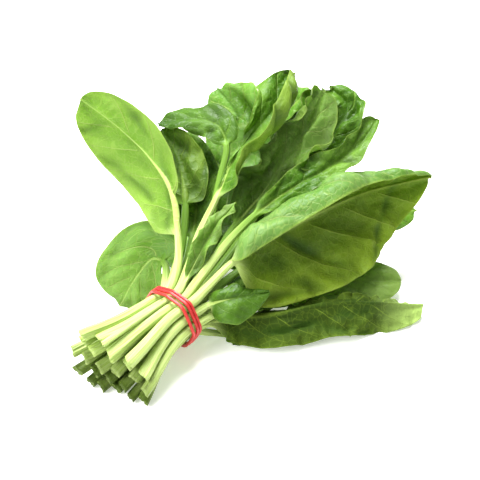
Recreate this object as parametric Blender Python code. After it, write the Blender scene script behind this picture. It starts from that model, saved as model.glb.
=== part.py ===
"""A bunch of spinach lying on a table: leaves on long stems, held by a rubber band wound three times round.

Sizes are in millimetres in the bunch's own frame: the origin is the middle of the band, +Y runs along
the stems to the leaves, +X to the right and +Z up. place() moves it so that the table is at z = 0.
"""

import math
from typing import NamedTuple

import bpy
import numpy as np

# The bunch in the world.
MM = 0.001
BAND_HEIGHT = 23.0  # middle of the band above the table
BAND_X = 7.4
BAND_Y = -59.0

# Stems where the band squeezes them: rows of touching stems, counted up and to the right.
ROW_COUNTS = {2: 4, 1: 5, 0: 6, -1: 5, -2: 4}
STEM_PITCH = 6.6
ROW_PITCH = 5.72
STEM_RADIUS = 3.0
STEM_AT_CUT = 1.16  # thicker at the cut end, times the radius
STEM_AT_BLADE = 0.72  # thinner where the blade begins
SQUEEZED = 9.0  # the stems run straight this far on both sides of the band's middle
CUT_SPREAD = (1.3, 1.45)  # sideways spread of the cut ends, left and right
CUT_LIFT = (1.75, 1.5)  # and their spread down and up
CUT_DROOP = 0.6  # they sink by this much for each millimetre that they lie right of DROOP_FROM
DROOP_FROM = -8.0
CUT_APART = 7.8  # least distance between the middles of two cut ends
APART_ROUNDS = 200
STEM_LENGTH = 57.0  # from the band's middle to the cut end
LENGTH_BY_SIDE = 0.45  # the left stems are longer
LENGTH_JITTER = 4.5
SIDE_JITTER = 1.2

# Blades.
BLADE_THICK = 0.8
MIDRIB_AT_TIP = 0.5
MIDRIB_FALL = 1.8  # how fast the midrib thins along the blade: 1 is evenly
MIDRIB_FOOT = 0.35  # height of the midrib at the columns next to it, as a part of its own
TIP_HALF_WIDTH = 1.2
ACROSS = (1.0, 0.72, 0.4, 0.12)  # places across half a blade, as parts of its width
BLADE_STATIONS = 11
STEM_STEP = 17.0  # longest piece of stem between two sections
SLOPE_STEP = 0.5  # the direction at a place is taken between two points this far before and after it
JOIN = 0.1  # part of the blade over which the round stem flattens into it
SEAM = 10  # degrees from the sideways line at which the stem's upper and lower rows end
LOBE_ROUND = 1.5  # how the sweep of a base grows towards the edge and fades along the blade
OTHER_SIDE = 0.37  # shift of the edge waves from the left half to the right, as a part of a wave

# Rubber band.
BAND_CORD = 2.0
BAND_TURNS = 3
BAND_PITCH = 2.35
BAND_LOOSE = 1.9  # extra space before the third turn on the upper side
LOOSEST_AT = math.radians(40)
BAND_LIFT = 2.4  # where one turn crosses over the others
BAND_SAMPLES = 132
BAND_SIDES = 7
CROSSING = (math.radians(200), math.radians(290))  # hidden underneath
CHANGE = (0.3, 0.7)  # parts of the crossing between which a turn moves to the next place
GAP = 0.3

GREEN = (0.12, 0.27, 0.035)
LEAF_ROUGHNESS = 0.5
RED = (0.75, 0.09, 0.05)
RUBBER_ROUGHNESS = 0.4


class Leaf(NamedTuple):
    """One leaf with its stem. Left and right are seen along the stem with the upper face up."""

    name: str
    slot: tuple  # row and column in the band
    way: tuple  # points of the midrib after the band
    begin: int  # the blade begins at this point of the way
    half: tuple  # widest half width, left and right
    face: tuple  # direction that the upper face looks in, at the blade's base and at its tip
    fold: tuple = (10, 10)  # degrees that each half rises towards the upper face
    curl: tuple = (0, 0)  # degrees that each half bends on towards its edge
    tip_curl: tuple = None  # the same at the tip
    widest: float = 0.42
    blunt: tuple = (2.0, 2.0)  # how full the outline is at the base and at the tip
    lobe: float = 0.25  # how far the base sweeps back, as a part of the half width
    late: tuple = (0.0, 0.0)  # part of the blade after which each half begins
    wave: tuple = (1.5, 2.5, 0.0)  # height of the edge waves, their number and their start
    stations: int = BLADE_STATIONS
    thin: float = 1.0  # stem radius, times the usual one


LEAVES = (
    Leaf(
        "leaf_tall_left", (2, 0),
        ((-14, 22, 20), (-23, 33, 31), (-39, 46, 51), (-63, 54, 62), (-90, 54, 75), (-117, 49, 88)), 1,
        (18, 28), ((-0.5, 0.8, -0.1), (-0.3, 0.85, -0.45)), (6, 6), (-14, -10),
        widest=0.5, blunt=(1.8, 2.2), lobe=0.3, late=(0.24, 0.0), wave=(1.2, 1.5, 0.1),
    ),
    Leaf(
        "leaf_hanging_left", (0, 0),
        ((-23, 20, 4), (-32, 29, 10), (-41, 29, 9), (-46, 19, -1), (-49, 5, -18)), 1,
        (26, 27), ((0.5, -0.7, 0.6), (0.4, -0.6, 0.6)), (4, 4), (-20, -12),
        widest=0.5, blunt=(2.4, 2.2), lobe=0.42, wave=(1.2, 2.0, 0.5),
    ),
    Leaf(
        "leaf_left_bright", (1, 0),
        ((-20, 28, 15), (-27, 42, 25), (-37, 56, 37), (-55, 72, 52), (-78, 82, 66)), 2,
        (17, 18), ((-0.5, 0.8, -0.1), (-0.4, 0.8, -0.4)), (10, 10), (-10, -10),
    ),
    Leaf(
        "leaf_left_inner", (0, 1),
        ((-17, 30, 8), (-27, 50, 19), (-38, 68, 32), (-55, 86, 44), (-80, 98, 57)), 1,
        (18, 16), ((0.4, -0.8, 0.5), (0.4, -0.7, 0.6)), (12, 12), (-10, -10),
    ),
    Leaf(
        "leaf_top_folded", (2, 1),
        (
            (-7, 24, 20), (-13, 40, 31), (-17, 62, 46), (-22, 89, 65), (-19, 104, 76), (-17, 121, 86),
            (-25, 150, 95),
        ), 2,
        (16, 34), ((0.1, -0.6, 0.8), (0.5, -0.5, 0.6)), (20, 5), (0, 60), tip_curl=(0, 205),
        widest=0.62, blunt=(1.5, 1.6), lobe=0.0, late=(0.4, 0.0), wave=(2.5, 2.0, 0.3), stations=13,
    ),
    Leaf(
        "leaf_arched_over", (1, 1),
        (
            (-11, 30, 14), (-18, 58, 33), (-28, 80, 50), (-33, 92, 65), (-43, 97, 73), (-62, 93, 74),
            (-81, 82, 68),
        ), 3,
        (12, 13), ((0.3, -0.7, 0.6), (0.2, 0.3, 0.9)), (15, 15), (-20, -20),
        wave=(2.0, 2.0, 0.0), stations=12,
    ),
    Leaf(
        "leaf_shaded_upright", (0, 2),
        ((-8, 30, 8), (-16, 60, 19), (-31, 92, 34), (-49, 113, 48), (-65, 127, 62)), 1,
        (18, 24), ((0.4, -0.8, 0.4), (0.4, -0.7, 0.5)), (10, 10), (-10, -10),
    ),
    Leaf(
        "leaf_centre_cupped", (1, 2),
        ((-2, 34, 13), (-5.5, 66, 29), (-3, 92, 43), (-1, 114, 60), (3, 132, 77), (4, 144, 96)), 1,
        (19, 18), ((0.2, -0.7, 0.6), (0.5, -0.6, 0.6)), (5, 20), (40, 15), tip_curl=(95, 30),
        widest=0.5, blunt=(2.0, 2.4), wave=(4.5, 2.5, 0.2),
    ),
    Leaf(
        "leaf_top_right", (1, 3),
        ((4, 34, 13), (2, 90, 35), (5, 126, 50), (10, 150, 66), (8, 165, 77), (-7, 166, 85)), 1,
        (30, 13), ((0.2, -0.5, 0.8), (0.4, -0.5, 0.7)), (15, 15), (0, -20), tip_curl=(70, -20),
        widest=0.55, blunt=(2.0, 2.6), wave=(3.0, 3.0, 0.6),
    ),
    Leaf(
        "leaf_long_right", (2, 2),
        (
            (4, 22, 19), (7, 42, 33), (12, 62, 45), (19, 92, 54), (26, 125, 58), (29, 154, 64),
            (26, 173, 70),
        ), 2,
        (11, 10), ((0.4, -0.4, 0.8), (0.2, -0.7, 0.6)), (10, 0), (0, 0), tip_curl=(100, 80),
        widest=0.55, blunt=(1.8, 2.4), lobe=0.0, wave=(1.5, 2.0, 0.0),
    ),
    Leaf(
        "leaf_big_front", (2, 3),
        ((11, 22, 16), (13, 40, 23), (19, 72, 28), (28, 104, 32), (40, 140, 35), (64, 182, 37)), 1,
        (48, 45), ((-0.71, 0.19, -0.67), (-0.6, 0.5, -0.6)), (0, 0), (-10, -195), tip_curl=(-10, -150),
        widest=0.5, blunt=(2.4, 1.25), lobe=0.4, wave=(1.0, 1.5, 0.0), stations=14,
    ),
    Leaf(
        "leaf_short_right", (1, 4),
        ((15.5, 16, 7), (23, 21, 11), (31, 31, 12), (38, 45, 10)), 0,
        (9, 16), ((0.5, -0.5, 0.8), (0.5, -0.4, 0.8)), (5, 5), (-20, -20), blunt=(1.8, 1.25), stations=8,
    ),
    Leaf(
        "leaf_right_peeking", (0, 3),
        ((7, 34, 6), (14, 64, 14), (24, 108, 17), (38, 142, 15), (58, 178, 11)), 1,
        (20, 20), ((0.4, -0.2, 0.9), (0.4, -0.3, 0.9)), (10, 10), (-15, -15), stations=9,
    ),
    Leaf(
        "leaf_right_under", (0, 4),
        ((14, 36, 1), (22, 60, 4), (35, 94, 4), (46, 122, 0), (52, 145, -3)), 0,
        (10, 17), ((0.5, -0.2, 0.8), (0.4, -0.3, 0.9)), (10, 10), (-15, -15),
    ),
    Leaf(
        "leaf_right_pale", (-1, 3),
        ((11, 30, -6), (17, 50, -7), (32, 84, -10), (52, 112, -13), (76, 134, -14)), 1,
        (17, 20), ((0.0, -0.1, 0.9), (0.1, -0.3, 0.9)), (10, 10), (-15, -15),
        blunt=(2.0, 2.8),
    ),
    Leaf(
        "leaf_small_pointed", (0, 5),
        ((20, 28, 0), (27, 45, 1), (32, 56, 1), (35, 48, -0.5), (35, 39, -1)), 2,
        (6, 8), ((0.5, -0.5, 0.7), (0.9, -0.3, 0.3)), (10, 10), (-10, -10), widest=0.35,
        blunt=(2.0, 1.1), lobe=0.1, stations=8, thin=0.85,
    ),
    Leaf(
        "leaf_low_long", (-1, 4),
        ((14.5, 14, -7), (22, 26, -6), (44, 44, -3), (63, 72, -2), (82, 95, -6), (100, 124, -16)), 0,
        (21, 10), ((0.1, 0.0, -1.0), (0.1, 0.0, -1.0)), (58, 20), (-10, -10),
        widest=0.45, blunt=(2.4, 2.6), lobe=0.0, wave=(1.5, 3.0, 0.0), stations=12,
    ),
    Leaf(
        "leaf_small_low", (-2, 3),
        ((13, 18, -16), (20, 27, -20), (33, 33, -24)), 1,
        (6, 6), ((0.2, -0.2, 0.9), (0.0, 0.0, 1.0)), (0, 0), (0, 0), stations=8, thin=0.85,
    ),
    Leaf(
        "leaf_back_high", (-1, 1),
        ((-12, 34, 1), (-22, 70, 12), (-35, 103, 26), (-48, 128, 43), (-64, 140, 57), (-84, 144, 68)), 2,
        (24, 24), ((0.3, -0.8, 0.4), (0.3, -0.6, 0.6)), (15, 15), (-20, -20), widest=0.55,
    ),
    Leaf(
        "leaf_back_far", (-1, 2),
        ((-6, 36, 0), (-13, 76, 11), (-22, 116, 26), (-34, 146, 46), (-37, 163, 60), (-40, 174, 73)), 2,
        (22, 25), ((0.3, -0.8, 0.4), (0.3, -0.6, 0.6)), (15, 15), (-20, -20), widest=0.55,
    ),
    Leaf(
        "leaf_low_back_left", (-1, 0),
        ((-19, 30, -7), (-33, 53, -12), (-54, 80, -19), (-77, 100, -24)), 1,
        (18, 15), ((0.0, 0.0, 1.0), (0.1, 0.0, 1.0)), (6, 6), (-10, -10), stations=9,
    ),
    Leaf(
        "leaf_low_left", (-2, 0),
        ((-13, 26, -15), (-22, 44, -19), (-34, 62, -23), (-46, 82, -24)), 1,
        (15, 14), ((0.0, 0.0, 1.0), (0.0, 0.0, 1.0)), (0, 0), (0, 0), wave=(0.6, 2.0, 0.0), stations=9,
    ),
    Leaf(
        "leaf_low_back", (-2, 1),
        ((-5, 30, -10), (-11, 60, -3), (-22, 98, 9), (-36, 140, 16)), 1,
        (22, 22), ((0.1, -0.4, 1.0), (0.0, -0.3, 1.0)), (6, 6), (-10, -10), stations=9,
    ),
    Leaf(
        "leaf_low_middle", (-2, 2),
        ((4, 30, -14), (4, 60, -18), (6, 104, -21), (12, 150, -24)), 1,
        (24, 20), ((0.0, 0.0, 1.0), (0.0, 0.0, 1.0)), (6, 6), (-10, -10), stations=9,
    ),
    Leaf(
        "leaf_narrow_on_stems", None,
        ((-1, 14, 18), (-2, 26, 27), (-3, 42, 39), (-1, 62, 50)), 0,
        (7.5, 7), ((0.3, -0.6, 0.7), (0.4, -0.5, 0.7)), (25, 35), (-10, -10), blunt=(1.5, 1.6), lobe=0.0,
        stations=8, thin=0.5,
    ),
)


def smooth(value, low, high):
    """Goes from 0 at low to 1 at high with a soft start and end."""
    t = np.clip((np.asarray(value, float) - low) / (high - low), 0.0, 1.0)
    return t * t * (3 - 2 * t)


def unit(vectors):
    return vectors / np.linalg.norm(vectors, axis=-1, keepdims=True)


def slot_centre(leaf):
    """Where the stem passes the band, as x and z."""
    if leaf.slot is None:  # the small leaf lies in the groove between the two middle stems of the top row
        reach = STEM_RADIUS * (1 + leaf.thin) + GAP
        return 0.0, 2 * ROW_PITCH + math.sqrt(reach**2 - (STEM_PITCH / 2) ** 2)
    row, column = leaf.slot
    return (column - (ROW_COUNTS[row] - 1) / 2) * STEM_PITCH, row * ROW_PITCH


def cut_places(jitters):
    """Middles of the cut ends, as x and z: spread from the band, sunk on the right, then pushed apart."""
    centres = np.array([slot_centre(leaf) for leaf in LEAVES])
    x, z = centres.T
    spread_x = np.where(x > 0, CUT_SPREAD[1], CUT_SPREAD[0]) * x
    spread_z = np.where(z > 0, CUT_LIFT[1], CUT_LIFT[0]) * z - CUT_DROOP * np.clip(x - DROOP_FROM, 0, None)
    places = np.stack([spread_x, spread_z], axis=1) + SIDE_JITTER * jitters[:, 1:]
    lowest = STEM_RADIUS * STEM_AT_CUT * np.array([leaf.thin for leaf in LEAVES]) - BAND_HEIGHT
    for _ in range(APART_ROUNDS):
        away = places[:, None] - places[None]
        distance = np.linalg.norm(away, axis=-1) + CUT_APART * np.eye(len(places))
        push = np.clip(CUT_APART - distance, 0, None) / distance / 2
        places = places + (push[..., None] * away).sum(axis=1)
        places[:, 1] = np.maximum(places[:, 1], lowest)
    return places


def stem_points(leaf, jitter, cut_place):
    """Cut end and the straight piece under the band."""
    x, z = slot_centre(leaf)
    length = STEM_LENGTH - LENGTH_BY_SIDE * x + LENGTH_JITTER * jitter[0]
    cut = np.array([cut_place[0], -length, cut_place[1]])
    return [cut, np.array([x, -SQUEEZED, z]), np.array([x, SQUEEZED, z])]


def curve_at(points, places):
    """Smooth curve through the points; places are distances along the straight lines between them."""
    marks = np.concatenate([[0.0], np.cumsum(np.linalg.norm(np.diff(points, axis=0), axis=1))])
    slopes = np.gradient(points, marks, axis=0)
    k = np.clip(np.searchsorted(marks, places, side="right") - 1, 0, len(marks) - 2)
    step = (marks[k + 1] - marks[k])[:, None]
    t = (places - marks[k])[:, None] / step
    a = (1 + 2 * t) * (1 - t) ** 2
    b = t * (1 - t) ** 2
    c = t * t * (3 - 2 * t)
    d = t * t * (t - 1)
    return a * points[k] + b * step * slopes[k] + c * points[k + 1] + d * step * slopes[k + 1]


def outline(leaf, t, late):
    """Half width from 0 to 1 along the blade: two halves of a rounded oval with their own fullness."""
    t = np.clip((t - late) / (1 - late), 0, 1)
    before = np.clip(1 - t / leaf.widest, 0, 1)
    after = np.clip((t - leaf.widest) / (1 - leaf.widest), 0, 1)
    base = np.maximum(1 - before ** leaf.blunt[0], 0) ** (1 / leaf.blunt[0])
    tip = np.maximum(1 - after ** leaf.blunt[1], 0) ** (1 / leaf.blunt[1])
    return np.where(t < leaf.widest, base, tip)


def blade_grid(leaf, path, ahead, t, across, stem_radius):
    """Middle surface of the blade, one row for each place along it, and the widths used."""
    face = (1 - t)[:, None] * np.array(leaf.face[0]) + t[:, None] * np.array(leaf.face[1])
    face = unit(face - (face * ahead).sum(1, keepdims=True) * ahead)
    right = np.cross(ahead, face)
    grid = np.empty((len(t), len(across), 3))
    tip_curl = leaf.tip_curl or leaf.curl
    for column, place in enumerate(across):
        side = int(place > 0)
        r = abs(place)
        shape = outline(leaf, t, leaf.late[side])
        floor = (1 - t) * stem_radius + t * TIP_HALF_WIDTH
        width = np.maximum(leaf.half[side] * shape, floor)
        curl = np.radians((1 - t) * leaf.curl[side] + t * tip_curl[side])
        fold = math.radians(leaf.fold[side])
        angle = fold + curl * r / 2
        reach = r * width * np.sinc(curl * r / (2 * math.pi))
        waves, start = leaf.wave[1], leaf.wave[2] + OTHER_SIDE * side
        lift = leaf.wave[0] * r * r * np.sqrt(shape) * np.sin(2 * math.pi * (waves * t + start))
        near_base = np.clip(1 - t / leaf.widest, 0, 1)
        back = leaf.lobe * leaf.half[side] * (r * near_base) ** LOBE_ROUND
        turn = fold + curl * r
        sign = 1 if side else -1
        along = sign * (reach * np.cos(angle) - lift * np.sin(turn))
        above = reach * np.sin(angle) + lift * np.cos(turn)
        grid[:, column] = path + along[:, None] * right + above[:, None] * face - back[:, None] * ahead
    return grid, face, right


def on_the_table(skins):
    """Lifts what would be under the table, both faces of a blade by the same amount."""
    under = np.minimum(skins.min(axis=0)[..., 2] + BAND_HEIGHT, 0.0)
    skins[..., 2] -= under[None]
    return skins


def leaf_sections(leaf, jitter, cut_place):
    """Closed sections from the cut end to the tip, each a ring of points."""
    points = np.array(stem_points(leaf, jitter, cut_place) + [np.array(p, float) for p in leaf.way])
    marks = np.concatenate([[0.0], np.cumsum(np.linalg.norm(np.diff(points, axis=0), axis=1))])
    begin, end = marks[3 + leaf.begin], marks[-1]
    bare = [0.0, 0.5 * marks[1], marks[1], marks[2]]
    pieces = max(1, math.ceil((begin - marks[2]) / STEM_STEP))
    bare += list(np.linspace(marks[2], begin, pieces + 1)[1:-1])
    even = np.linspace(0, 1, leaf.stations)
    t_blade = 0.5 * even + 0.5 * (1 - np.cos(math.pi * even)) / 2
    places = np.concatenate([bare, begin + t_blade * (end - begin)])
    path = curve_at(points, places)
    before, after = np.maximum(places - SLOPE_STEP, 0), np.minimum(places + SLOPE_STEP, end)
    ahead = unit(curve_at(points, after) - curve_at(points, before))
    t = np.clip((places - begin) / (end - begin), 0, 1)

    size = STEM_RADIUS * leaf.thin
    radius = size * np.interp(places, [0, marks[1], marks[2], begin], [STEM_AT_CUT, 1, 1, STEM_AT_BLADE])
    across = np.array([-r for r in ACROSS] + [0.0] + list(reversed(ACROSS)))
    grid, face, right = blade_grid(leaf, path, ahead, t, across, size * STEM_AT_BLADE)
    slope_across = np.gradient(grid, axis=1)
    slope_along = np.gradient(grid, axis=0)
    normal = unit(np.cross(slope_across, slope_along))
    rib = size * STEM_AT_BLADE * (1 - t) ** MIDRIB_FALL + MIDRIB_AT_TIP * t
    below = np.full(len(across), BLADE_THICK / 2)[None, :] + np.zeros((len(t), 1))
    centre = len(ACROSS)
    below[:, centre] += rib
    below[:, centre - 1] += MIDRIB_FOOT * rib
    below[:, centre + 1] += MIDRIB_FOOT * rib
    skins = np.stack([grid + normal * BLADE_THICK / 2, grid - normal * below[..., None]])

    spread = np.radians(np.linspace(180 - SEAM, SEAM, len(across)))
    round_x = np.stack([np.cos(spread), np.cos(spread)])
    round_z = np.stack([np.sin(spread), -np.sin(spread)])
    stem = (
        path[None, :, None]
        + radius[None, :, None, None] * round_x[:, None, :, None] * right[None, :, None]
        + radius[None, :, None, None] * round_z[:, None, :, None] * face[None, :, None]
    )
    flat = smooth(t, 0, JOIN)[None, :, None, None]
    skins = on_the_table((1 - flat) * stem + flat * skins)
    return np.concatenate([skins[0], skins[1][:, ::-1]], axis=1)


def loft(rings):
    """Points and triangles of a closed body through the rings. Both faces of a blade split alike."""
    count, around = rings.shape[:2]
    half = around // 2
    faces = []
    for k in range(count - 1):
        for j in range(around):
            a, b = k * around + j, k * around + (j + 1) % around
            c, d = a + around, b + around
            if j < half:
                faces += [(a, b, d), (a, d, c)]
            else:
                faces += [(a, b, c), (b, d, c)]
    for j in range(half - 1):
        low, high = j, around - 1 - j
        last = (count - 1) * around
        faces += [(low, high, high - 1), (low, high - 1, low + 1)]
        faces += [(last + low, last + high - 1, last + high), (last + low, last + low + 1, last + high - 1)]
    return rings.reshape(-1, 3), faces


def band_rim(circles, angles, grow):
    """Tight line round the stems at the given angles: the outermost stem in each direction."""
    directions = np.stack([np.cos(angles), np.sin(angles)], axis=1)
    reach = directions @ circles[:, :2].T + circles[:, 2]
    hit = circles[np.argmax(reach, axis=1)]
    return hit[:, :2] + directions * (hit[:, 2] + grow)[:, None]


def even_angles(circles, grow, samples):
    """Angles at which points of the tight line lie at equal distances."""
    fine = np.linspace(0, 2 * math.pi, 2001)
    rim = band_rim(circles, fine, grow)
    length = np.concatenate([[0.0], np.cumsum(np.linalg.norm(np.diff(rim, axis=0), axis=1))])
    wanted = np.arange(samples) * length[-1] / samples
    return np.interp(wanted, length, fine), np.stack(
        [np.interp(wanted, length, rim[:, 0]), np.interp(wanted, length, rim[:, 1])], axis=1
    )


def band_line(circles):
    """Middle line of the rubber band: three turns side by side, then back over them underneath."""
    per_turn = BAND_SAMPLES // BAND_TURNS
    angles, rim = even_angles(circles, GAP + BAND_CORD / 2, per_turn)
    outward = unit(np.roll(rim, 1, axis=0) - np.roll(rim, -1, axis=0))[:, ::-1] * np.array([-1.0, 1.0])
    line = []
    for turn in range(BAND_TURNS):
        slots = [BAND_PITCH, 0.0, -BAND_PITCH]
        here, after = slots[turn], slots[(turn + 1) % BAND_TURNS]
        part = (angles - CROSSING[0]) / (CROSSING[1] - CROSSING[0])
        y = here + (after - here) * smooth(part, *CHANGE)
        if turn == BAND_TURNS - 1:
            lift = BAND_LIFT * smooth(part, 0.0, CHANGE[0]) * (1 - smooth(part, CHANGE[1], 1.0))
        else:
            lift = np.zeros(per_turn)
        loose = BAND_LOOSE * np.clip(np.cos(angles - LOOSEST_AT), 0, 1)
        number = turn + (part > 0.5)
        y = y - np.where(number % BAND_TURNS == BAND_TURNS - 1, loose, 0.0)
        ring = rim + outward * lift[:, None]
        line.append(np.stack([ring[:, 0], y, ring[:, 1]], axis=1))
    return np.concatenate(line)


def closed_tube(line, radius, sides):
    """Points and triangles of a round tube along a closed line that stays near the plane y = 0."""
    ahead = unit(np.roll(line, -1, axis=0) - np.roll(line, 1, axis=0))
    side = np.array([0.0, 1.0, 0.0]) - ahead[:, 1:2] * ahead
    side = unit(side)
    out = np.cross(ahead, side)
    turns = 2 * math.pi * np.arange(sides) / sides
    ring = np.cos(turns)[None, :, None] * side[:, None] + np.sin(turns)[None, :, None] * out[:, None]
    points = (line[:, None] + radius * ring).reshape(-1, 3)
    faces = []
    count = len(line)
    for k in range(count):
        for j in range(sides):
            a, b = k * sides + j, k * sides + (j + 1) % sides
            c, d = (k + 1) % count * sides + j, (k + 1) % count * sides + (j + 1) % sides
            faces += [(a, b, d), (a, d, c)]
    return points, faces


def place(points):
    return (points + np.array([BAND_X, BAND_Y, BAND_HEIGHT])) * MM


def make_object(name, points, faces, material):
    mesh = bpy.data.meshes.new(name)
    mesh.from_pydata(place(points).tolist(), [], faces)
    for polygon in mesh.polygons:
        polygon.use_smooth = True
    mesh.update()
    if volume(points, faces) < 0:
        mesh.flip_normals()
    made = bpy.data.objects.new(name, mesh)
    made.data.materials.append(material)
    bpy.context.scene.collection.objects.link(made)


def volume(points, faces):
    return np.linalg.det(points[np.array(faces)]).sum() / 6


def leaf_material(name):
    material = bpy.data.materials.new(name)
    material.use_nodes = True
    shader = material.node_tree.nodes["Principled BSDF"]
    shader.inputs["Base Color"].default_value = (*GREEN, 1)
    shader.inputs["Roughness"].default_value = LEAF_ROUGHNESS
    material.diffuse_color = (*GREEN, 1)
    return material


def rubber_material(name):
    material = bpy.data.materials.new(name)
    material.use_nodes = True
    shader = material.node_tree.nodes["Principled BSDF"]
    shader.inputs["Base Color"].default_value = (*RED, 1)
    shader.inputs["Roughness"].default_value = RUBBER_ROUGHNESS
    material.diffuse_color = (*RED, 1)
    return material


def build_leaf(leaf, jitter, cut_place):
    points, faces = loft(leaf_sections(leaf, jitter, cut_place))
    make_object(leaf.name, points, faces, leaf_material(leaf.name))


def build_band():
    circles = np.array([(*slot_centre(leaf), STEM_RADIUS * leaf.thin) for leaf in LEAVES])
    points, faces = closed_tube(band_line(circles), BAND_CORD / 2, BAND_SIDES)
    make_object("rubber_band", points, faces, rubber_material("rubber_band"))


def main():
    for old in list(bpy.data.objects):
        bpy.data.objects.remove(old)
    jitters = np.random.default_rng(7).uniform(-1, 1, (len(LEAVES), 3))
    for leaf, jitter, cut_place in zip(LEAVES, jitters, cut_places(jitters)):
        build_leaf(leaf, jitter, cut_place)
    build_band()


main()
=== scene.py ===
"""Spinach bunch on a white table: fine leaves, ribbed stems and a rubber band in place of the plain solids.

Leaf shapes are worked out in millimetres in the bunch's own frame, as in the CAD source: the origin is the
middle of the band, +Y runs along the stems to the leaves, +X to the right and +Z up.
"""

import logging
import math
from dataclasses import dataclass, field
from enum import Enum

import bpy
import numpy as np
from mathutils import Matrix, Vector


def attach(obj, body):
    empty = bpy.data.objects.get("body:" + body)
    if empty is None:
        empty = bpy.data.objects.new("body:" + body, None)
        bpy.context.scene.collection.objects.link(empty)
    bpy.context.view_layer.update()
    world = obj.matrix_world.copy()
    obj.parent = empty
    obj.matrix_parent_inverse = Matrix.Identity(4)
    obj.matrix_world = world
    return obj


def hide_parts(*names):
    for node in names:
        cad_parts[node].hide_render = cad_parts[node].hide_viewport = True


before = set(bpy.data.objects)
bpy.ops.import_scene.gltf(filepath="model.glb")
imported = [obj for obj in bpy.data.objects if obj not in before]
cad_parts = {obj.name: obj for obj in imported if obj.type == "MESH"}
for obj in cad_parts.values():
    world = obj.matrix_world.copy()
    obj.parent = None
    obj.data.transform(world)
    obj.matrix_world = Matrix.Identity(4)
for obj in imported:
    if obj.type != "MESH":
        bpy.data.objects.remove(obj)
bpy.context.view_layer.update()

LOG = logging.getLogger("spinach")
MM = 0.001


class Tone(Enum):
    """How fresh a leaf's greens are, and how much shade is painted into them: the darker sets are painted
    shade for leaves in the shade of others.
    """

    BRIGHT = "bright"
    FRESH = "fresh"
    DEEP_SHADE = "deep"
    OLIVE = "olive"
    DARK_SHADE = "dark_shade"
    DUSKY = "dusky"


@dataclass(frozen=True)
class Leaf:
    """One leaf with its stem. Left and right are seen along the stem with the upper face up.

    The first fields are those of the CAD source. The last ones give the fine relief, in millimetres.
    """

    name: str
    slot: tuple | None  # row and column in the band
    way: tuple  # points of the midrib after the band
    begin: int  # the blade begins at this point of the way
    half: tuple  # widest half width, left and right
    face: tuple  # direction of the upper face at the blade's base and at its tip
    fold: tuple = (10, 10)
    curl: tuple = (0, 0)
    tip_curl: tuple | None = None
    widest: float = 0.42
    blunt: tuple = (2.0, 2.0)
    lobe: float = 0.25
    late: tuple = (0.0, 0.0)
    wave: tuple = (1.5, 2.5, 0.0)
    thin: float = 1.0
    tone: Tone = Tone.FRESH
    veins: int = 5  # side veins on each half
    puff: float = 0.9  # how far the blade swells between its veins
    blister: float = 0.25  # height of the small blisters
    ripple: float = 0.8  # height of the small waves of the edge
    swell: float = 1.0  # height of the broad unevenness
    creases: int = 0  # number of folds pressed into the blade
    crease: float = 0.0  # and their height
    pale: float = 30.0  # the stem turns to its darker green, partly painted shade, over this length after the band
    midrib: float = 1.0  # how clearly the midrib shows towards the tip
    ruffle: float = 0.0  # height of the ruffles of the margin
    pale_and_painted_light: tuple = (0.7, 0.0)  # place along the blade from which it pales, and how much; on some leaves the paler green is painted sheen and light
    sunk: float = 0.0  # painted shade: how dark the blade is near its base, deep between the other leaves


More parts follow.
